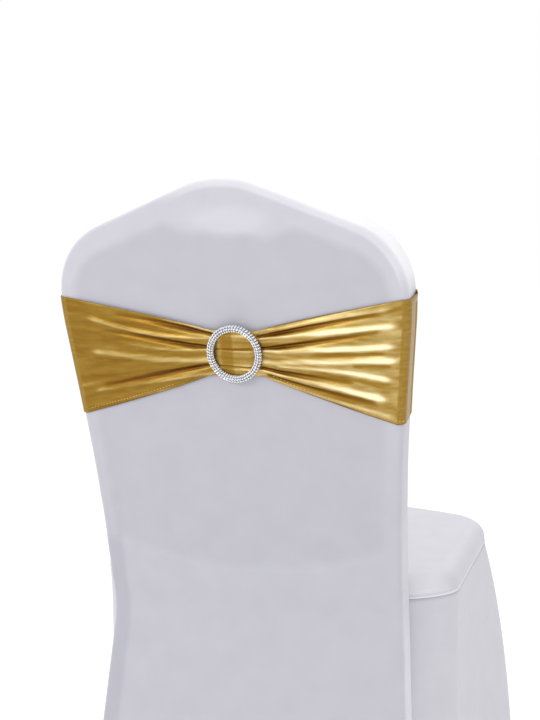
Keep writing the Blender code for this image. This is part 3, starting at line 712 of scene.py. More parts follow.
def make_backrest(white):
    """Front face of the back sleeve, bulging a little over the padded backrest."""
    sheet = Sheet()
    inset = FRONT_RIM_RADIUS + FRONT_LIP + 2.0 * SEAM_GAP
    columns = back_columns()
    bottom = []
    for share in columns:
        x = share * (side_half_width(0.0) - inset)
        bottom.append((x, back_s_at_height(x, SEAT_TOP + 4.0 * SEAM_GAP, -SLEEVE_DEPTH)))
    rows = []
    for part in steps(0.0, 1.0, 6)[:-1]:
        edge = side_half_width(BACKREST_LOW) - inset
        rows.append([(mix(x, share * edge, part), mix(s, BACKREST_LOW, part))
                     for (x, s), share in zip(bottom, columns)])
    for s in steps(BACKREST_LOW, SHOULDER_LEVEL, 60):
        rows.append([(share * (side_half_width(s) - inset), s) for share in columns])
    for part in steps(0.0, 1.0, 28)[1:]:
        line = []
        for share in columns:
            x = share * (SHOULDER_HALF_WIDTH - inset)
            line.append((x, mix(SHOULDER_LEVEL, max(crown_height(x, inset), SHOULDER_LEVEL), part)))
        rows.append(line)
    surface_rows = []
    for line in rows:
        points = []
        for x, s in line:
            edge = min(side_half_width(s) - inset - abs(x), crown_height(x, inset) - s)
            tone = mix(BACKREST_EDGE_TONE, SKIRT_TONE, smooth(edge / BACKREST_EDGE_RAMP))
            points.append((back_point(x, s, -SLEEVE_DEPTH - pad_bulge(x, s)), x, s, 1.0, tone))
        surface_rows.append(points)
    sheet.rows(surface_rows)
    piece = sheet.make("cover_backrest", white, COVER_THICKNESS)
    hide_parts("backrest_panel")
    return piece


def backrest_line(x, height):
    """Y of the sleeve's front plane at x and a height."""
    s = back_s_at_height(x, height, -SLEEVE_DEPTH)
    return back_point(x, s, -SLEEVE_DEPTH)[1]


def seat_side_end():
    """Y at which the seat's straight side turns in towards the back."""
    return backrest_line(SEAT_HALF_WIDTH, SEAT_SEAM) - REAR_CORNER_DEPTH


def seat_outline(height):
    """Plan of the seat's edge at a height, from the right rear corner round the bowed front.

    Each entry is (x, y, outward x, outward y, run), where run names the stretch it belongs to.
    """
    start_x = side_half_width(SEAT_END_S) - FRONT_RIM_RADIUS
    rear = backrest_line(start_x, height) - 2.0 * SEAM_GAP
    front = SEAT_FRONT + FRAME_SHIFT
    corner_x = SEAT_HALF_WIDTH - SEAT_CORNER_RADIUS
    corner_y = front + SEAT_CORNER_RADIUS
    side_end = seat_side_end()
    half = [(x, front, "front") for x in steps(0.0, corner_x, SEAT_FRONT_STEPS)[:-1]]
    for angle in steps(0.0, math.pi / 2.0, SEAT_CORNER_STEPS):
        x = corner_x + SEAT_CORNER_RADIUS * math.sin(angle)
        half.append((x, corner_y - SEAT_CORNER_RADIUS * math.cos(angle), "corner"))
    for y in steps(corner_y, side_end, SEAT_SIDE_STEPS)[1:]:
        half.append((SEAT_HALF_WIDTH, y, "side"))
    for angle in steps(0.0, math.pi / 2.0, SEAT_REAR_STEPS)[1:]:
        wide = (SEAT_HALF_WIDTH - start_x) * max(math.cos(angle), 0.0) ** REAR_CORNER_POWER
        half.append((start_x + wide, mix(side_end, rear, math.sin(angle)), "rear"))
    bowed = []
    for x, y, run in half:
        forward = max((side_end - y) / (side_end - front), 0.0)
        bowed.append((x, y + SEAT_FRONT_BOW * (x / SEAT_HALF_WIDTH) ** 2 * forward, run))
    line = [(-x, y, run) for x, y, run in reversed(bowed[1:])] + bowed
    outline = []
    for index, (x, y, run) in enumerate(line):
        along_x, along_y = direction(line, index)
        outline.append((x, y, along_y, -along_x, run))
    return outline


def seat_dome(x, y, rear):
    """Rise of the padded seat above the level of its sides; it fades out towards the backrest."""
    across = x / SEAT_HALF_WIDTH
    along = (y - SEAT_FRONT - FRAME_SHIFT) / (rear - SEAT_FRONT - FRAME_SHIFT)
    return SEAT_DOME * max(1.0 - across ** 2, 0.0) * max(1.0 - max(along, 0.0) ** 4, 0.0)


def make_seat(white):
    """Top of the seat, rolled over its edge down to the seam above the skirt."""
    sheet = Sheet()
    level = SEAT_TOP - COVER_THICKNESS
    end_x = side_half_width(SEAT_END_S) - FRONT_RIM_RADIUS - SEAT_ROLL
    rear = backrest_line(0.0, level) - 2.0 * SEAM_GAP
    inner = []
    outline = seat_outline(level)
    for index, (x, y, out_x, out_y, run) in enumerate(outline):
        if run == "rear":
            # Towards the back the roll turns sideways, so that it ends against the back's rim
            turn = 1.0 - min(index, len(outline) - 1 - index) / SEAT_REAR_STEPS
            out_x, out_y = mix(out_x, math.copysign(1.0, x), turn), mix(out_y, 0.0, turn)
        rear_x = min(max(x, -end_x), end_x)
        rear_y = backrest_line(rear_x, level) - 2.0 * SEAM_GAP
        inner.append((x - SEAT_ROLL * out_x, min(y - SEAT_ROLL * out_y, rear_y), rear_x, rear_y))
    rows = []
    for part in steps(0.0, 1.0, SEAT_TOP_STEPS):
        line = []
        for edge_x, edge_y, rear_x, rear_y in inner:
            x, y = mix(rear_x, edge_x, part), mix(rear_y, edge_y, part)
            line.append(((x, y, SEAT_TOP + seat_dome(x, y, rear)), x, y, 1.0, SEAT_TONE))
        rows.append(line)
    for angle in steps(0.0, math.pi / 2.0, SEAT_ROLL_STEPS)[1:]:
        height = SEAT_TOP - SEAT_ROLL * (1.0 - math.cos(angle))
        # Painted shade on the roll as it turns down; the top keeps the seat's painted light
        tone = mix(SEAT_TONE, ROLL_TONE, smooth(math.sin(angle) * ROLL_SHADE_GAIN - ROLL_SHADE_START))
        line = []
        for (edge_x, edge_y, _, _), entry in zip(inner, seat_outline(height)):
            x = mix(edge_x, entry[0], math.sin(angle))
            y = mix(edge_y, entry[1], math.sin(angle))
            top = height + seat_dome(edge_x, edge_y, rear) * math.cos(angle)
            # The roll is lighter towards the back, where its side is turned to the light
            turned = smooth((abs(entry[3]) - REAR_LIGHT_START) / REAR_LIGHT_RAMP)
            light = turned if entry[4] == "rear" else 0.0
            line.append(((x, y, top), x + y, height, height - SEAT_SEAM, mix(tone, REAR_ROLL_TONE, light)))
        rows.append(line)
    for welt in SEAT_WELT:
        height = SEAT_SEAM + welt["above"]
        line = []
        for x, y, out_x, out_y, _ in seat_outline(height):
            place = (x + welt["out"] * out_x, y + welt["out"] * out_y, height)
            line.append((place, x + y, height, 1.0, welt["tone"]))
        rows.append(line)
    sheet.rows([list(reversed(line)) for line in rows])
    piece = sheet.make("cover_seat", white, COVER_THICKNESS)
    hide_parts("seat_panel")
    return piece


def skirt_point(entry, height, side_end):
    """Point of the skirt below an entry of the seat's outline."""
    x, y, _, _, run = entry
    flare = 1.0 - math.exp(-(SEAT_SEAM - height) / FLARE_LENGTH)
    share = flare / (1.0 - math.exp(-SEAT_SEAM / FLARE_LENGTH))
    if run == "rear":
        # Behind the seat the skirt is pulled straight to the rear foot
        start_x = side_half_width(SEAT_END_S) - FRONT_RIM_RADIUS
        foot_x = side_half_width(back_s_at_height(start_x, height, -SLEEVE_DEPTH)) - FRONT_RIM_RADIUS
        rear = backrest_line(start_x, height) - 2.0 * SEAM_GAP
        along = (abs(x) - start_x) / (SEAT_HALF_WIDTH - start_x)
        back = (y - side_end) / (backrest_line(start_x, SEAT_SEAM) - 2.0 * SEAM_GAP - side_end)
        wide = mix(foot_x, SEAT_HALF_WIDTH, mix(along, 1.0 - back, share))
        return (math.copysign(wide, x), mix(side_end, rear, back), height)
    forward = smooth((side_end - y) / (side_end - SEAT_FRONT - FRAME_SHIFT))
    sideways = x / SEAT_HALF_WIDTH
    floor_x = x + FLARE_SIDE * forward * sideways
    floor_y = y - FLARE_FRONT * forward * sideways ** 2
    return (mix(x, floor_x, share), mix(y, floor_y, share), height)


def make_skirts(white):
    """Two side panels and a front panel that meet at the middle of the front corners."""
    outline = seat_outline(SEAT_SEAM)
    corners = [index for index, entry in enumerate(outline) if entry[4] == "corner"]
    right_seam = corners[len(corners) // 4]
    left_seam = corners[-1 - len(corners) // 4]
    runs = (
        {"name": "side_panel_right", "piece": "skirt_right", "first": 0, "last": right_seam,
         "arch": SIDE_ARCH},
        {"name": "front_panel", "piece": "skirt_front", "first": right_seam, "last": left_seam,
         "arch": FRONT_ARCH},
        {"name": "side_panel_left", "piece": "skirt_left", "first": left_seam, "last": len(outline) - 1,
         "arch": SIDE_ARCH},
    )
    side_end = seat_side_end()
    pieces = []
    for run in runs:
        entries = outline[run["first"]:run["last"] + 1]
        lengths = [0.0]
        for one, two in zip(entries, entries[1:]):
            lengths.append(lengths[-1] + math.hypot(two[0] - one[0], two[1] - one[1]))
        sheet = Sheet()
        rows = []
        for part in steps(0.0, 1.0, SKIRT_STEPS):
            line = []
            for entry, length in zip(entries, lengths):
                share = 2.0 * length / lengths[-1] - 1.0
                hem = hem_height(share, run["arch"])
                height = mix(SEAT_SEAM, hem, part)
                line.append((skirt_point(entry, height, side_end), length, height, height - hem, SKIRT_TONE))
            rows.append(line)
        for line in rows:
            for end, near in ((0, 1), (-1, -2)):
                share = min(SEAM_GAP / max(math.dist(line[end][0], line[near][0]), SEAM_GAP), 0.5)
                drawn = tuple(mix(a, b, share) for a, b in zip(line[end][0], line[near][0]))
                line[end] = (drawn, *line[end][1:])
        sheet.rows([list(reversed(line)) for line in rows])
        piece = sheet.make(run["piece"], white, COVER_THICKNESS)
        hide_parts(run["name"])
        pieces.append(piece)
    return pieces


def sash_edges(x):
    """Lower and upper edge of the sash at x: narrow over the bar, wider at the ring, full at the sides."""
    away = abs(x - RING_X)
    if away < RING_RADIUS:
        half = mix(GATHER_HALF_HEIGHT, MOUTH_HALF_HEIGHT, (away / RING_RADIUS) ** 2)
        return RING_S - half, RING_S + half + MOUTH_WAVE * math.sin(away * MOUTH_WAVE_RATE)
    side = math.copysign(1.0, x - RING_X)
    edges = []
    for mouth, end in ((RING_S - MOUTH_HALF_HEIGHT, SASH_LOW), (RING_S + MOUTH_HALF_HEIGHT, SASH_HIGH)):
        reach = side_half_width(end) - RIM_RADIUS - side * RING_X - RING_RADIUS
        share = min((away - RING_RADIUS) / reach, 1.0) ** SASH_SPREAD_POWER
        edges.append(mix(mouth, end, share))
    return edges


def crease_shape(crease, x, s):
    """Share of one crease's rise that a place has, from its distance to the crease's line."""
    start, middle, end = crease["x"]
    share = (x - start) / (end - start)
    if share < CREASE_START or share > 1.0:
        return 0.0, 0.0
    bend = (middle - start) / (end - start)
    one, two, three = crease["s"]
    # The curve through the three places
    path = one * (share - bend) * (share - 1.0) / bend
    path += two * share * (share - 1.0) / (bend * (bend - 1.0))
    path += three * share * (share - bend) / (1.0 - bend)
    taper = smooth((1.0 - share) / CREASE_END_FADE)
    width = mix(*crease["width"], share) * mix(0.5, 1.0, taper)
    fade = taper * smooth((share - CREASE_START) / -CREASE_START)
    return fade * math.exp(-((s - path) / width) ** 2), mix(*crease["rise"], share)


def crease_marks(x, s):
    """What the creases add to the sash's height at a place, and the painted light and shade they add to its
    tone.
    """
    height = 0.0
    marks = 0.0
    for crease in SASH_CREASES:
        shape, rise = crease_shape(crease, x, s)
        height += CREASE_RELIEF * shape * rise
        # Folds look narrower than they are: only a valley's bottom gets painted shade, only a ridge's top
        # painted light
        if rise < 0.0:
            marks += rise * shape ** VALLEY_SHARPNESS
        else:
            # Painted highlights on the ridges are stronger on the right
            gain = 1.0 + RIGHT_RIDGE_GAIN * smooth((-x - RIGHT_GAIN_START) / RIGHT_GAIN_LENGTH)
            marks += rise * shape ** RIDGE_SHARPNESS * gain
    return height, marks


def outer_tone(x, across, marks):
    """Lightness of the sash outside the ring: painted light and shade of the creases, random streaks, and
    painted light that is weaker on the left and stronger on the right.
    """
    streaks = soft_noise(x * 0.10, across * 0.15, 0.0085, 21.0)
    streaks += 0.5 * soft_noise(x * 0.2, across * 0.15, 0.004, 4.0)
    tone = BASE_TONE + TONE_PER_RISE * marks + STREAK_TONE * streaks
    tone += (RIGHT_TONE_RISE * smooth((-x - RIGHT_TONE_START) / RIGHT_TONE_LENGTH)
             - LEFT_TONE_DROP * smooth((x - RING_X) / LEFT_TONE_LENGTH))
    return min(max(tone, 0.0), 1.0)


def inner_sash(x, s, edge_fall):
    """Height and lightness of the gathered cloth inside the ring's window: painted light and shade of its
    folds, and painted light on its left side and along the hidden bar.
    """
    height = OVER_BAR_LIFT + INNER_PUFF * edge_fall
    tone = INNER_TONE + INNER_LEFT_RISE * smooth((x - RING_X - INNER_LEFT_START) / INNER_LEFT_RAMP)
    right = min(max(0.5 - (x - RING_X) / (2.0 * INNER_HALF_WIDTH), 0.0), 1.0)
    for fold in INNER_FOLDS:
        reach = (s - mix(*fold["s"], right)) / mix(*fold["width"], right)
        rise = mix(*fold["rise"], right) * math.exp(-reach ** 2)
        height += 0.5 * rise
        tone += TONE_PER_RISE * rise
    bar = smooth((RING_X + BAR_EDGE - x) / BAR_RAMP)
    return height + BAR_STEP * bar, tone + BAR_TONE * bar


def sash_height(x, s, across):
    """Height of the sash's outer side above the rear face, and how light its cloth looks there."""
    away = abs(x - RING_X)
    edge_fall = math.sin(math.pi * min(max(across, 0.0), 1.0)) ** 0.5
    share = max(away - RING_RADIUS, 0.0) / (side_half_width(RING_S) - RING_RADIUS)
    fade = 1.0 - smooth((share - PUFF_FADE_START) / (1.0 - PUFF_FADE_START))
    puff = SASH_PUFF * mix(PUFF_EDGE_SHARE, 1.0, edge_fall) * fade
    creases, marks = crease_marks(x, s)
    tone = outer_tone(x, across, marks)
    gathers = math.sin(2.0 * math.pi * GATHER_LINES * across + 2.0 * soft_noise(x, s, 0.03, 5.0))
    gathers *= GATHER_HEIGHT * math.exp(-max(away - RING_RADIUS, 0.0) / GATHER_REACH)
    ripple = RIPPLE_HEIGHT * soft_noise(x * 0.25, s, RIPPLE_SIZE, 1.0)
    outside = SASH_LIFT + max(puff + creases + gathers + ripple, -LARGEST_DIP)
    under_rim = min(max(UNDER_RIM_LIFT + UNDER_RIM_SHARE * creases, UNDER_RIM_LOW), UNDER_RIM_HIGH)
    if away >= RING_RADIUS:
        return mix(under_rim, outside, smooth((away - RING_RADIUS) / MOUTH_RAMP)), tone
    over_bar, inner_tone = inner_sash(x, s, edge_fall)
    inside = smooth((RING_RADIUS - RING_RIM + INNER_MARGIN - away) / INNER_RAMP)
    return mix(under_rim, over_bar, inside), min(max(mix(tone, inner_tone, inside), 0.0), 1.0)


def make_sash_rear(gold):
    """Rear half of the sash: gathered folds run from the ring and fade out towards the sides."""
    seam = -SLEEVE_DEPTH * SASH_SEAM_SHARE
    radius = RIM_RADIUS + SASH_LIFT
    rows = []
    for across in steps(0.0, 1.0, SASH_ROWS):
        line = []
        s = mix(SASH_LOW, SASH_HIGH, across)
        edge = side_half_width(s) - RIM_RADIUS
        edge_distance = min(across, 1.0 - across) * (SASH_HIGH - SASH_LOW)
        for side in (-1, 1):
            ear = EAR_REACH * smooth((across - EAR_START) / EAR_LENGTH) if side < 0 else 0.0
            turn = []
            for angle in steps(0.0, math.pi / 2.0, 8):
                outward = SASH_LIFT - radius * (1.0 - math.cos(angle))
                turn.append((side * (edge + radius * math.sin(angle)), outward, edge + radius * angle))
            for part in steps(0.0, 1.0, 5)[1:]:
                outward = mix(SASH_LIFT - radius, seam, part)
                turn.append((side * (edge + radius + ear * part), outward, edge + 2.0 * radius - outward))
            points = []
            for x, outward, along in turn:
                place = back_point(x, s, outward)
                points.append((place, side * along, s, edge_distance, SIDE_STRIP_TONE))
            if side > 0:
                line += points
                continue
            line += reversed(points)
            for x in steps(-edge, edge, SASH_COLUMNS)[1:-1]:
                low, high = sash_edges(x)
                height = mix(low, high, across)
                outward, tone = sash_height(x, height, across)
                place = back_point(x, height, outward)
                line.append((place, x, height, min(height - low, high - height), tone))
        rows.append(line)
    sheet = Sheet()
    sheet.rows([list(reversed(line)) for line in rows])
    piece = sheet.make("sash_back", gold, SASH_THICKNESS)
    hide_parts("sash_rear")
    return piece


def band_faces(first, corners, levels):
    """Quads between neighbouring rings of points, where each ring has the same number of corners."""
    faces = []
    for level in range(levels - 1):
        low = first + level * corners
        for corner in range(corners):
            after = (corner + 1) % corners
            faces.append((low + corner, low + after, low + corners + after, low + corners + corner))
    return faces


def hard_piece(name, points, faces, surface):
    """A piece that isn't a sheet, made from its points and faces."""
    mesh = bpy.data.meshes.new(name)
    mesh.from_pydata(points, [], faces)
    mesh.materials.append(surface)
    piece = bpy.data.objects.new(name, mesh)
    bpy.context.scene.collection.objects.link(piece)
    return piece


def make_stitches(thread):
    """Dotted stitch line along the lower hem of the sash's rear half."""
    points = []
    faces = []
    for run in STITCH_RUNS:
        count = round(abs(run["end"] - run["start"]) / STITCH_PITCH)
        for x in steps(run["start"], run["end"], count):
            ends = []
            for offset in (-0.5, 0.5):
                place_x = x + offset * STITCH_LENGTH
                low, high = sash_edges(place_x)
                s = low + STITCH_INSET
                outward, _ = sash_height(place_x, s, STITCH_INSET / (high - low))
                ends.append(Vector(back_point(place_x, s, outward + STITCH_RISE * STITCH_RADIUS)))
            along = (ends[1] - ends[0]).normalized()
            side = along.cross(Vector((0.0, 0.0, 1.0))).normalized()
            other = along.cross(side)
            first = len(points)
            for share, reach in STITCH_PROFILE:
                centre = ends[0].lerp(ends[1], share)
                for corner in range(STITCH_SIDES):
                    turn = 2.0 * math.pi / STITCH_SIDES * corner
                    spoke = side * math.cos(turn) + other * math.sin(turn)
                    points.append(centre + spoke * STITCH_RADIUS * reach)
            faces += band_faces(first, STITCH_SIDES, len(STITCH_PROFILE))
            faces.append(tuple(reversed(range(first, first + STITCH_SIDES))))
            faces.append(tuple(range(len(points) - STITCH_SIDES, len(points))))
    stitches = hard_piece("sash_stitches", points, faces, thread)
    stitches.data.shade_smooth()
    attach(stitches, "root")
    return stitches


def make_sash_front(gold):
    """Front half of the sash, flat over the backrest and round to the side seams."""
    seam = -SLEEVE_DEPTH * SASH_SEAM_SHARE - SEAM_GAP
    radius = FRONT_RIM_RADIUS + SASH_LIFT
    rows = []
    for across in steps(0.0, 1.0, 40):
        s = mix(SASH_LOW, SASH_HIGH, across)
        edge = side_half_width(s) - FRONT_RIM_RADIUS
        ear = EAR_REACH * smooth((across - EAR_START) / EAR_LENGTH)
        half = []
        for x in steps(0.0, edge, 60)[:-1]:
            wrinkle = FRONT_WRINKLE * soft_noise(x * 0.2, s, RIPPLE_SIZE, 9.0)
            half.append((x, -SLEEVE_DEPTH - SASH_LIFT - pad_bulge(x, s) - wrinkle, x))
        for angle in steps(0.0, math.pi / 2.0, 8):
            outward = -SLEEVE_DEPTH + FRONT_RIM_RADIUS - radius * math.cos(angle)
            half.append((edge + radius * math.sin(angle), outward, edge + radius * angle))
        half.append((edge + radius, seam, edge + 2.0 * radius))
        edge_distance = min(across, 1.0 - across) * (SASH_HIGH - SASH_LOW)
        line = []
        for x, outward, along in reversed(half[1:]):
            reach = ear if outward == seam else 0.0
            place = back_point(-x - reach, s, outward)
            line.append((place, -along, s, edge_distance, SIDE_STRIP_TONE))
        for x, outward, along in half:
            line.append((back_point(x, s, outward), along, s, edge_distance, SIDE_STRIP_TONE))
        rows.append(line)
    sheet = Sheet()
    sheet.rows(rows)
    piece = sheet.make("sash_front_half", gold, SASH_THICKNESS)
    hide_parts("sash_front")
    return piece


def ring_section(angle, around, grow):
    """Point on the ring's rounded rim: angle round the ring, around its section, grow off its surface."""
    middle = RING_RADIUS - RING_RIM / 2.0
    radius = middle + (RING_SECTION_HALF_WIDTH + grow) * math.cos(around)
    outward = RING_UNDERSIDE + RING_DEPTH / 2.0 + (RING_DEPTH / 2.0 + grow) * math.sin(around)
    x = RING_X + RING_WIDE * radius * math.cos(angle)
    return Vector(back_point(x, RING_S + RING_TALL * radius * math.sin(angle), outward))


def make_ring_setting(silver):
    """Metal rim under the stones, grooved between the strands."""
    points = []
    faces = []
    for turn in range(RING_TURNS):
        angle = 2.0 * math.pi * turn / RING_TURNS
        for corner in range(RING_SECTION):
            around = 2.0 * math.pi * corner / RING_SECTION
            slant = STRAND_SLANT * (1.0 - math.cos(around)) / 2.0
            groove = GROOVE_DEPTH * math.cos(STRANDS * (angle + slant))
            points.append(ring_section(angle, around, groove - SETTING_INSET))
            after = (turn + 1) % RING_TURNS
            beside = (corner + 1) % RING_SECTION
            faces.append((turn * RING_SECTION + corner, after * RING_SECTION + corner,
                          after * RING_SECTION + beside, turn * RING_SECTION + beside))
    ring = hard_piece("ring_setting", points, faces, silver)
    ring.data.shade_smooth()
    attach(ring, "root")
    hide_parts("ring_buckle")


def strand_point(strand, around, grow):
    """Point of a strand, which slants as it crosses the rim from its outer to its inner edge."""
    angle = 2.0 * math.pi * strand / STRANDS - STRAND_SLANT * (1.0 - math.cos(around)) / 2.0
    return ring_section(angle, around, grow)


def make_stones(crystal):
    """Long cut stones set end to end along each strand."""
    points = []
    faces = []
    for strand in range(STRANDS):
        for row, place in enumerate(STONE_PLACES):
            around = math.radians(place)
            base = strand_point(strand, around, -STONE_SINK)
            normal = (strand_point(strand, around, 0.001) - base).normalized()
            ahead = strand_point(strand, around + 0.02, -STONE_SINK)
            behind = strand_point(strand, around - 0.02, -STONE_SINK)
            along = ahead - behind
            along = (along - normal * along.dot(normal)).normalized()
            beside = normal.cross(along)
            tilt = STONE_TILT * noise.noise(Vector((strand * 1.7, row * 3.1, 0.5)))
            normal = (normal + tilt * along).normalized()
            first = len(points)
            for share, height in STONE_LEVELS:
                for corner in range(STONE_SIDES):
                    turn = 2.0 * math.pi * (corner + 0.5) / STONE_SIDES
                    reach = along * (STONE_HALF_LENGTH * share * math.cos(turn))
                    reach += beside * (STONE_HALF_WIDTH * share * math.sin(turn))
                    points.append(base + reach + normal * STONE_HEIGHT * height)
            faces += band_faces(first, STONE_SIDES, len(STONE_LEVELS))
            faces.append(tuple(range(len(points) - STONE_SIDES, len(points))))
            faces.append(tuple(reversed(range(first, first + STONE_SIDES))))
    stones = hard_piece("ring_stones", points, faces, crystal)
    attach(stones, "root")


class Nodes:
    """Short calls for building a material's nodes."""

    def __init__(self, name, settings):
        self.material = bpy.data.materials.new(name)
        self.material.use_nodes = True
        self.tree = self.material.node_tree
        self.inputs = self.tree.nodes["Principled BSDF"].inputs
        for setting, value in settings.items():
            self.inputs[setting].default_value = value

    def link(self, source, target):
        self.tree.links.new(source, target)

    def fill(self, node, values):
        """Sets or links a node's first inputs."""
        for socket, value in zip(node.inputs, values):
            if isinstance(value, (int, float)):
                socket.default_value = value
            else:
                self.link(value, socket)

    def mark(self, name):
        node = self.tree.nodes.new("ShaderNodeAttribute")
        node.attribute_name = name
        return node.outputs["Fac"]

    def object_place(self):
        return self.tree.nodes.new("ShaderNodeTexCoord").outputs["Object"]

    def math(self, operation, one, two):
        node = self.tree.nodes.new("ShaderNodeMath")
        node.operation = operation
        self.fill(node, (one, two))
        return node.outputs["Value"]

    def vector(self, x, y):
        node = self.tree.nodes.new("ShaderNodeCombineXYZ")
        self.fill(node, (x, y))
        return node.outputs["Vector"]

    def noise(self, vector, scale, detail):
        node = self.tree.nodes.new("ShaderNodeTexNoise")
        node.inputs["Scale"].default_value = scale
        node.inputs["Detail"].default_value = detail
        self.link(vector, node.inputs["Vector"])
        return node.outputs["Fac"]

    def cells(self, vector, scale):
        node = self.tree.nodes.new("ShaderNodeTexVoronoi")
        node.inputs["Scale"].default_value = scale
        self.link(vector, node.inputs["Vector"])
        return node.outputs["Color"]

    def stops(self, factor, stops):
        """Colour read from a ramp of (position, colour) stops."""
        node = self.tree.nodes.new("ShaderNodeValToRGB")
        elements = node.color_ramp.elements
        while len(elements) < len(stops):
            elements.new(0.5)
        for element, (position, colour) in zip(elements, stops):
            element.position = position
            element.color = (*colour, 1.0)
        self.link(factor, node.inputs["Fac"])
        return node.outputs["Color"]

    def multiply(self, one, two):
        """Product of two colours."""
        node = self.tree.nodes.new("ShaderNodeMix")
        node.data_type = "RGBA"
        node.blend_type = "MULTIPLY"
        node.inputs["Factor"].default_value = 1.0
        self.link(one, node.inputs["A"])
        self.link(two, node.inputs["B"])
        return node.outputs["Result"]

    def bump(self, height, distance, strength, normal=None):
        node = self.tree.nodes.new("ShaderNodeBump")
        node.inputs["Distance"].default_value = distance
        node.inputs["Strength"].default_value = strength
        self.link(height, node.inputs["Height"])
        if normal is not None:
            self.link(normal, node.inputs["Normal"])
        return node.outputs["Normal"]


def white_knit():
    """Fine white stretch knit, its light and shade painted from the tone mark: slightly blue in the shade,
    faint ribs, a sewn hem.
    """
    nodes = Nodes("white_stretch_knit", {
        "Roughness": 0.72, "Specular IOR Level": 0.35, "Sheen Weight": 0.18, "Sheen Roughness": 0.45,
    })
    along = nodes.mark("along")
    place = nodes.vector(along, nodes.mark("up"))
    # Painted light and shade: the tone mark runs from shade to light
    colour = nodes.stops(nodes.mark("tone"), ((0.0, (0.416, 0.411, 0.463)), (1.0, (0.845, 0.835, 0.875))))
    patches = nodes.noise(place, 26.0, 3.0)
    mottle = nodes.stops(patches, ((0.3, (0.955, 0.955, 0.96)), (0.7, (1.0, 1.0, 1.0))))
    nodes.link(nodes.multiply(colour, mottle), nodes.inputs["Base Color"])
    ribs = nodes.math("SINE", nodes.math("MULTIPLY", along, 2.0 * math.pi / RIB_WIDTH), 0.0)
    fine = nodes.noise(place, 1500.0, 2.0)
    knit = nodes.math("ADD", nodes.math("MULTIPLY", ribs, 0.25), fine)
    normal = nodes.bump(knit, 0.00012, 0.6)
    hem = nodes.math("SMOOTH_MIN", nodes.math("MULTIPLY", nodes.mark("edge"), 1.0 / HEM_WIDTH), 1.0)
    normal = nodes.bump(nodes.math("GREATER_THAN", hem, 0.86), -0.0003, 0.8, normal)
    nodes.link(normal, nodes.inputs["Normal"])
    return nodes.material


def gold_knit():
    """Metallic knit: satin gold, with painted shade in the valleys and painted highlights on the ridges,
    from dark brown to pale, and small glints.
    """
    nodes = Nodes("gold_metallic_knit", {"Metallic": 0.95, "Coat Weight": 0.10, "Coat Roughness": 0.22})
    along = nodes.mark("along")
    up = nodes.mark("up")
    place = nodes.vector(along, up)
    crinkle = nodes.noise(nodes.vector(nodes.math("MULTIPLY", along, 0.25), up), 300.0, 3.0)
    fine = nodes.noise(place, 1300.0, 2.0)
    glint = nodes.cells(place, 700.0)
    uneven = nodes.math("MULTIPLY", nodes.math("SUBTRACT", crinkle, 0.5), 0.16)
    sparkle = nodes.math("MULTIPLY", nodes.math("SUBTRACT", fine, 0.5), 0.30)
    shade = nodes.math("ADD", nodes.mark("tone"), nodes.math("ADD", uneven, sparkle))
    # Ramp of the tone mark from painted shade, dark brown, to painted highlight, pale gold
    stops = (
        (0.00, (0.120, 0.036, 0.002)),
        (0.28, (0.215, 0.104, 0.008)),
        (0.50, (0.305, 0.180, 0.026)),
        (0.70, (0.590, 0.440, 0.180)),
        (0.92, (0.960, 0.840, 0.560)),
    )
    nodes.link(nodes.stops(shade, stops), nodes.inputs["Base Color"])
    rough = nodes.math("ADD", nodes.math("MULTIPLY", fine, 0.16), 0.30)
    nodes.link(rough, nodes.inputs["Roughness"])
    normal = nodes.bump(crinkle, 0.00020, 0.8)
    normal = nodes.bump(fine, 0.00012, 0.8, normal)
    normal = nodes.bump(glint, 0.00006, 0.8, normal)
    nodes.link(normal, nodes.inputs["Normal"])
    return nodes.material


def polished(name, colour, roughness):
    """Bright metal or metallic thread with faint fine wear."""
    nodes = Nodes(name, {"Metallic": 1.0})
    wear = nodes.noise(nodes.object_place(), 900.0, 3.0)
    darker = tuple(value * 0.9 for value in colour)
    nodes.link(nodes.stops(wear, ((0.0, darker), (1.0, colour))), nodes.inputs["Base Color"])
    rough = nodes.math("ADD", nodes.math("MULTIPLY", wear, 0.12), roughness)
    nodes.link(rough, nodes.inputs["Roughness"])
    return nodes.material


def clear_stones():
    """Bright cut stones, seen as white with cool and warm glints from stone to stone."""
    nodes = Nodes("clear_stones", {
        "Roughness": 0.14, "Metallic": 0.30, "Coat Weight": 0.6, "Coat Roughness": 0.05,
    })
    glint = nodes.noise(nodes.object_place(), 420.0, 1.0)
    stops = (
        (0.30, (0.60, 0.63, 0.69)),
        (0.48, (0.82, 0.84, 0.88)),
        (0.62, (0.97, 0.97, 0.98)),
    )
    nodes.link(nodes.stops(glint, stops), nodes.inputs["Base Color"])
    return nodes.material


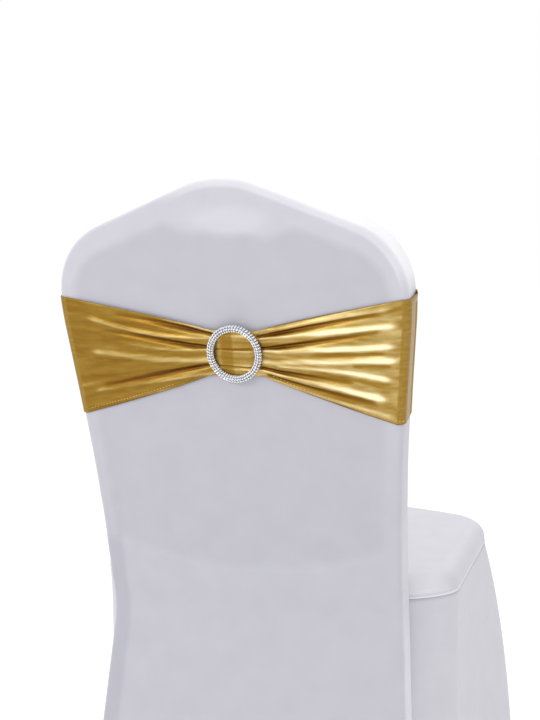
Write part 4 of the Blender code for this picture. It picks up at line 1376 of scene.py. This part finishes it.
def add_camera():
    """Camera at the photograph's viewing angle."""
    camera = bpy.data.objects.new("camera", bpy.data.cameras.new("camera"))
    camera.location = CAMERA_PLACE
    level = math.cos(CAMERA_PITCH)
    view = Vector((math.sin(CAMERA_YAW) * level, -math.cos(CAMERA_YAW) * level, -math.sin(CAMERA_PITCH)))
    camera.rotation_euler = view.to_track_quat("-Z", "Y").to_euler()
    camera.data.sensor_width = SENSOR_SIZE
    camera.data.lens = FOCAL_PIXELS / PICTURE_HEIGHT_PIXELS * SENSOR_SIZE
    camera.data.clip_end = 200.0
    bpy.context.scene.collection.objects.link(camera)
    bpy.context.scene.camera = camera


def add_area(name, location, size, power, target):
    lamp = bpy.data.lights.new(name, "AREA")
    lamp.shape = "RECTANGLE"
    lamp.size, lamp.size_y = size
    lamp.energy = power
    light = bpy.data.objects.new(name, lamp)
    light.location = location
    light.rotation_euler = (Vector(target) - Vector(location)).to_track_quat("-Z", "Y").to_euler()
    bpy.context.scene.collection.objects.link(light)


def add_studio():
    """Plain pale floor, soft light all round, one soft box high behind the camera and one overhead."""
    bpy.ops.mesh.primitive_plane_add(size=80.0, location=(0.0, 0.0, -0.0005))
    floor = bpy.context.object
    floor.name = "floor"
    white = (1.0, 1.0, 1.0, 1.0)
    nodes = Nodes("floor", {"Roughness": 0.9, "Emission Color": white, "Emission Strength": 0.10})
    grain = nodes.noise(nodes.object_place(), 3.0, 2.0)
    stops = ((0.0, (0.93, 0.93, 0.93)), (1.0, (0.95, 0.95, 0.95)))
    nodes.link(nodes.stops(grain, stops), nodes.inputs["Base Color"])
    floor.data.materials.append(nodes.material)
    world = bpy.data.worlds.new("studio")
    world.use_nodes = True
    world.node_tree.nodes["Background"].inputs["Color"].default_value = white
    world.node_tree.nodes["Background"].inputs["Strength"].default_value = 1.0
    bpy.context.scene.world = world
    add_area("key", (0.9, 2.6, 1.7), (2.0, 0.35), 18.0, (0.0, 0.2, 0.7))
    add_area("overhead", (0.2, 0.1, 3.0), (1.6, 1.6), 10.0, (0.0, 0.0, 0.5))
    bpy.context.scene.view_settings.view_transform = "Standard"


def main():
    add_camera()
    white = white_knit()
    gold = gold_knit()
    pieces = [make_back(white), make_backrest(white), make_seat(white), *make_skirts(white)]
    pieces += [make_sash_rear(gold), make_sash_front(gold)]
    stitches = make_stitches(polished("gold_thread", (0.78, 0.58, 0.25), 0.42))
    make_ring_setting(polished("silver_setting", (0.30, 0.32, 0.35), 0.38))
    make_stones(clear_stones())
    add_studio()


main()
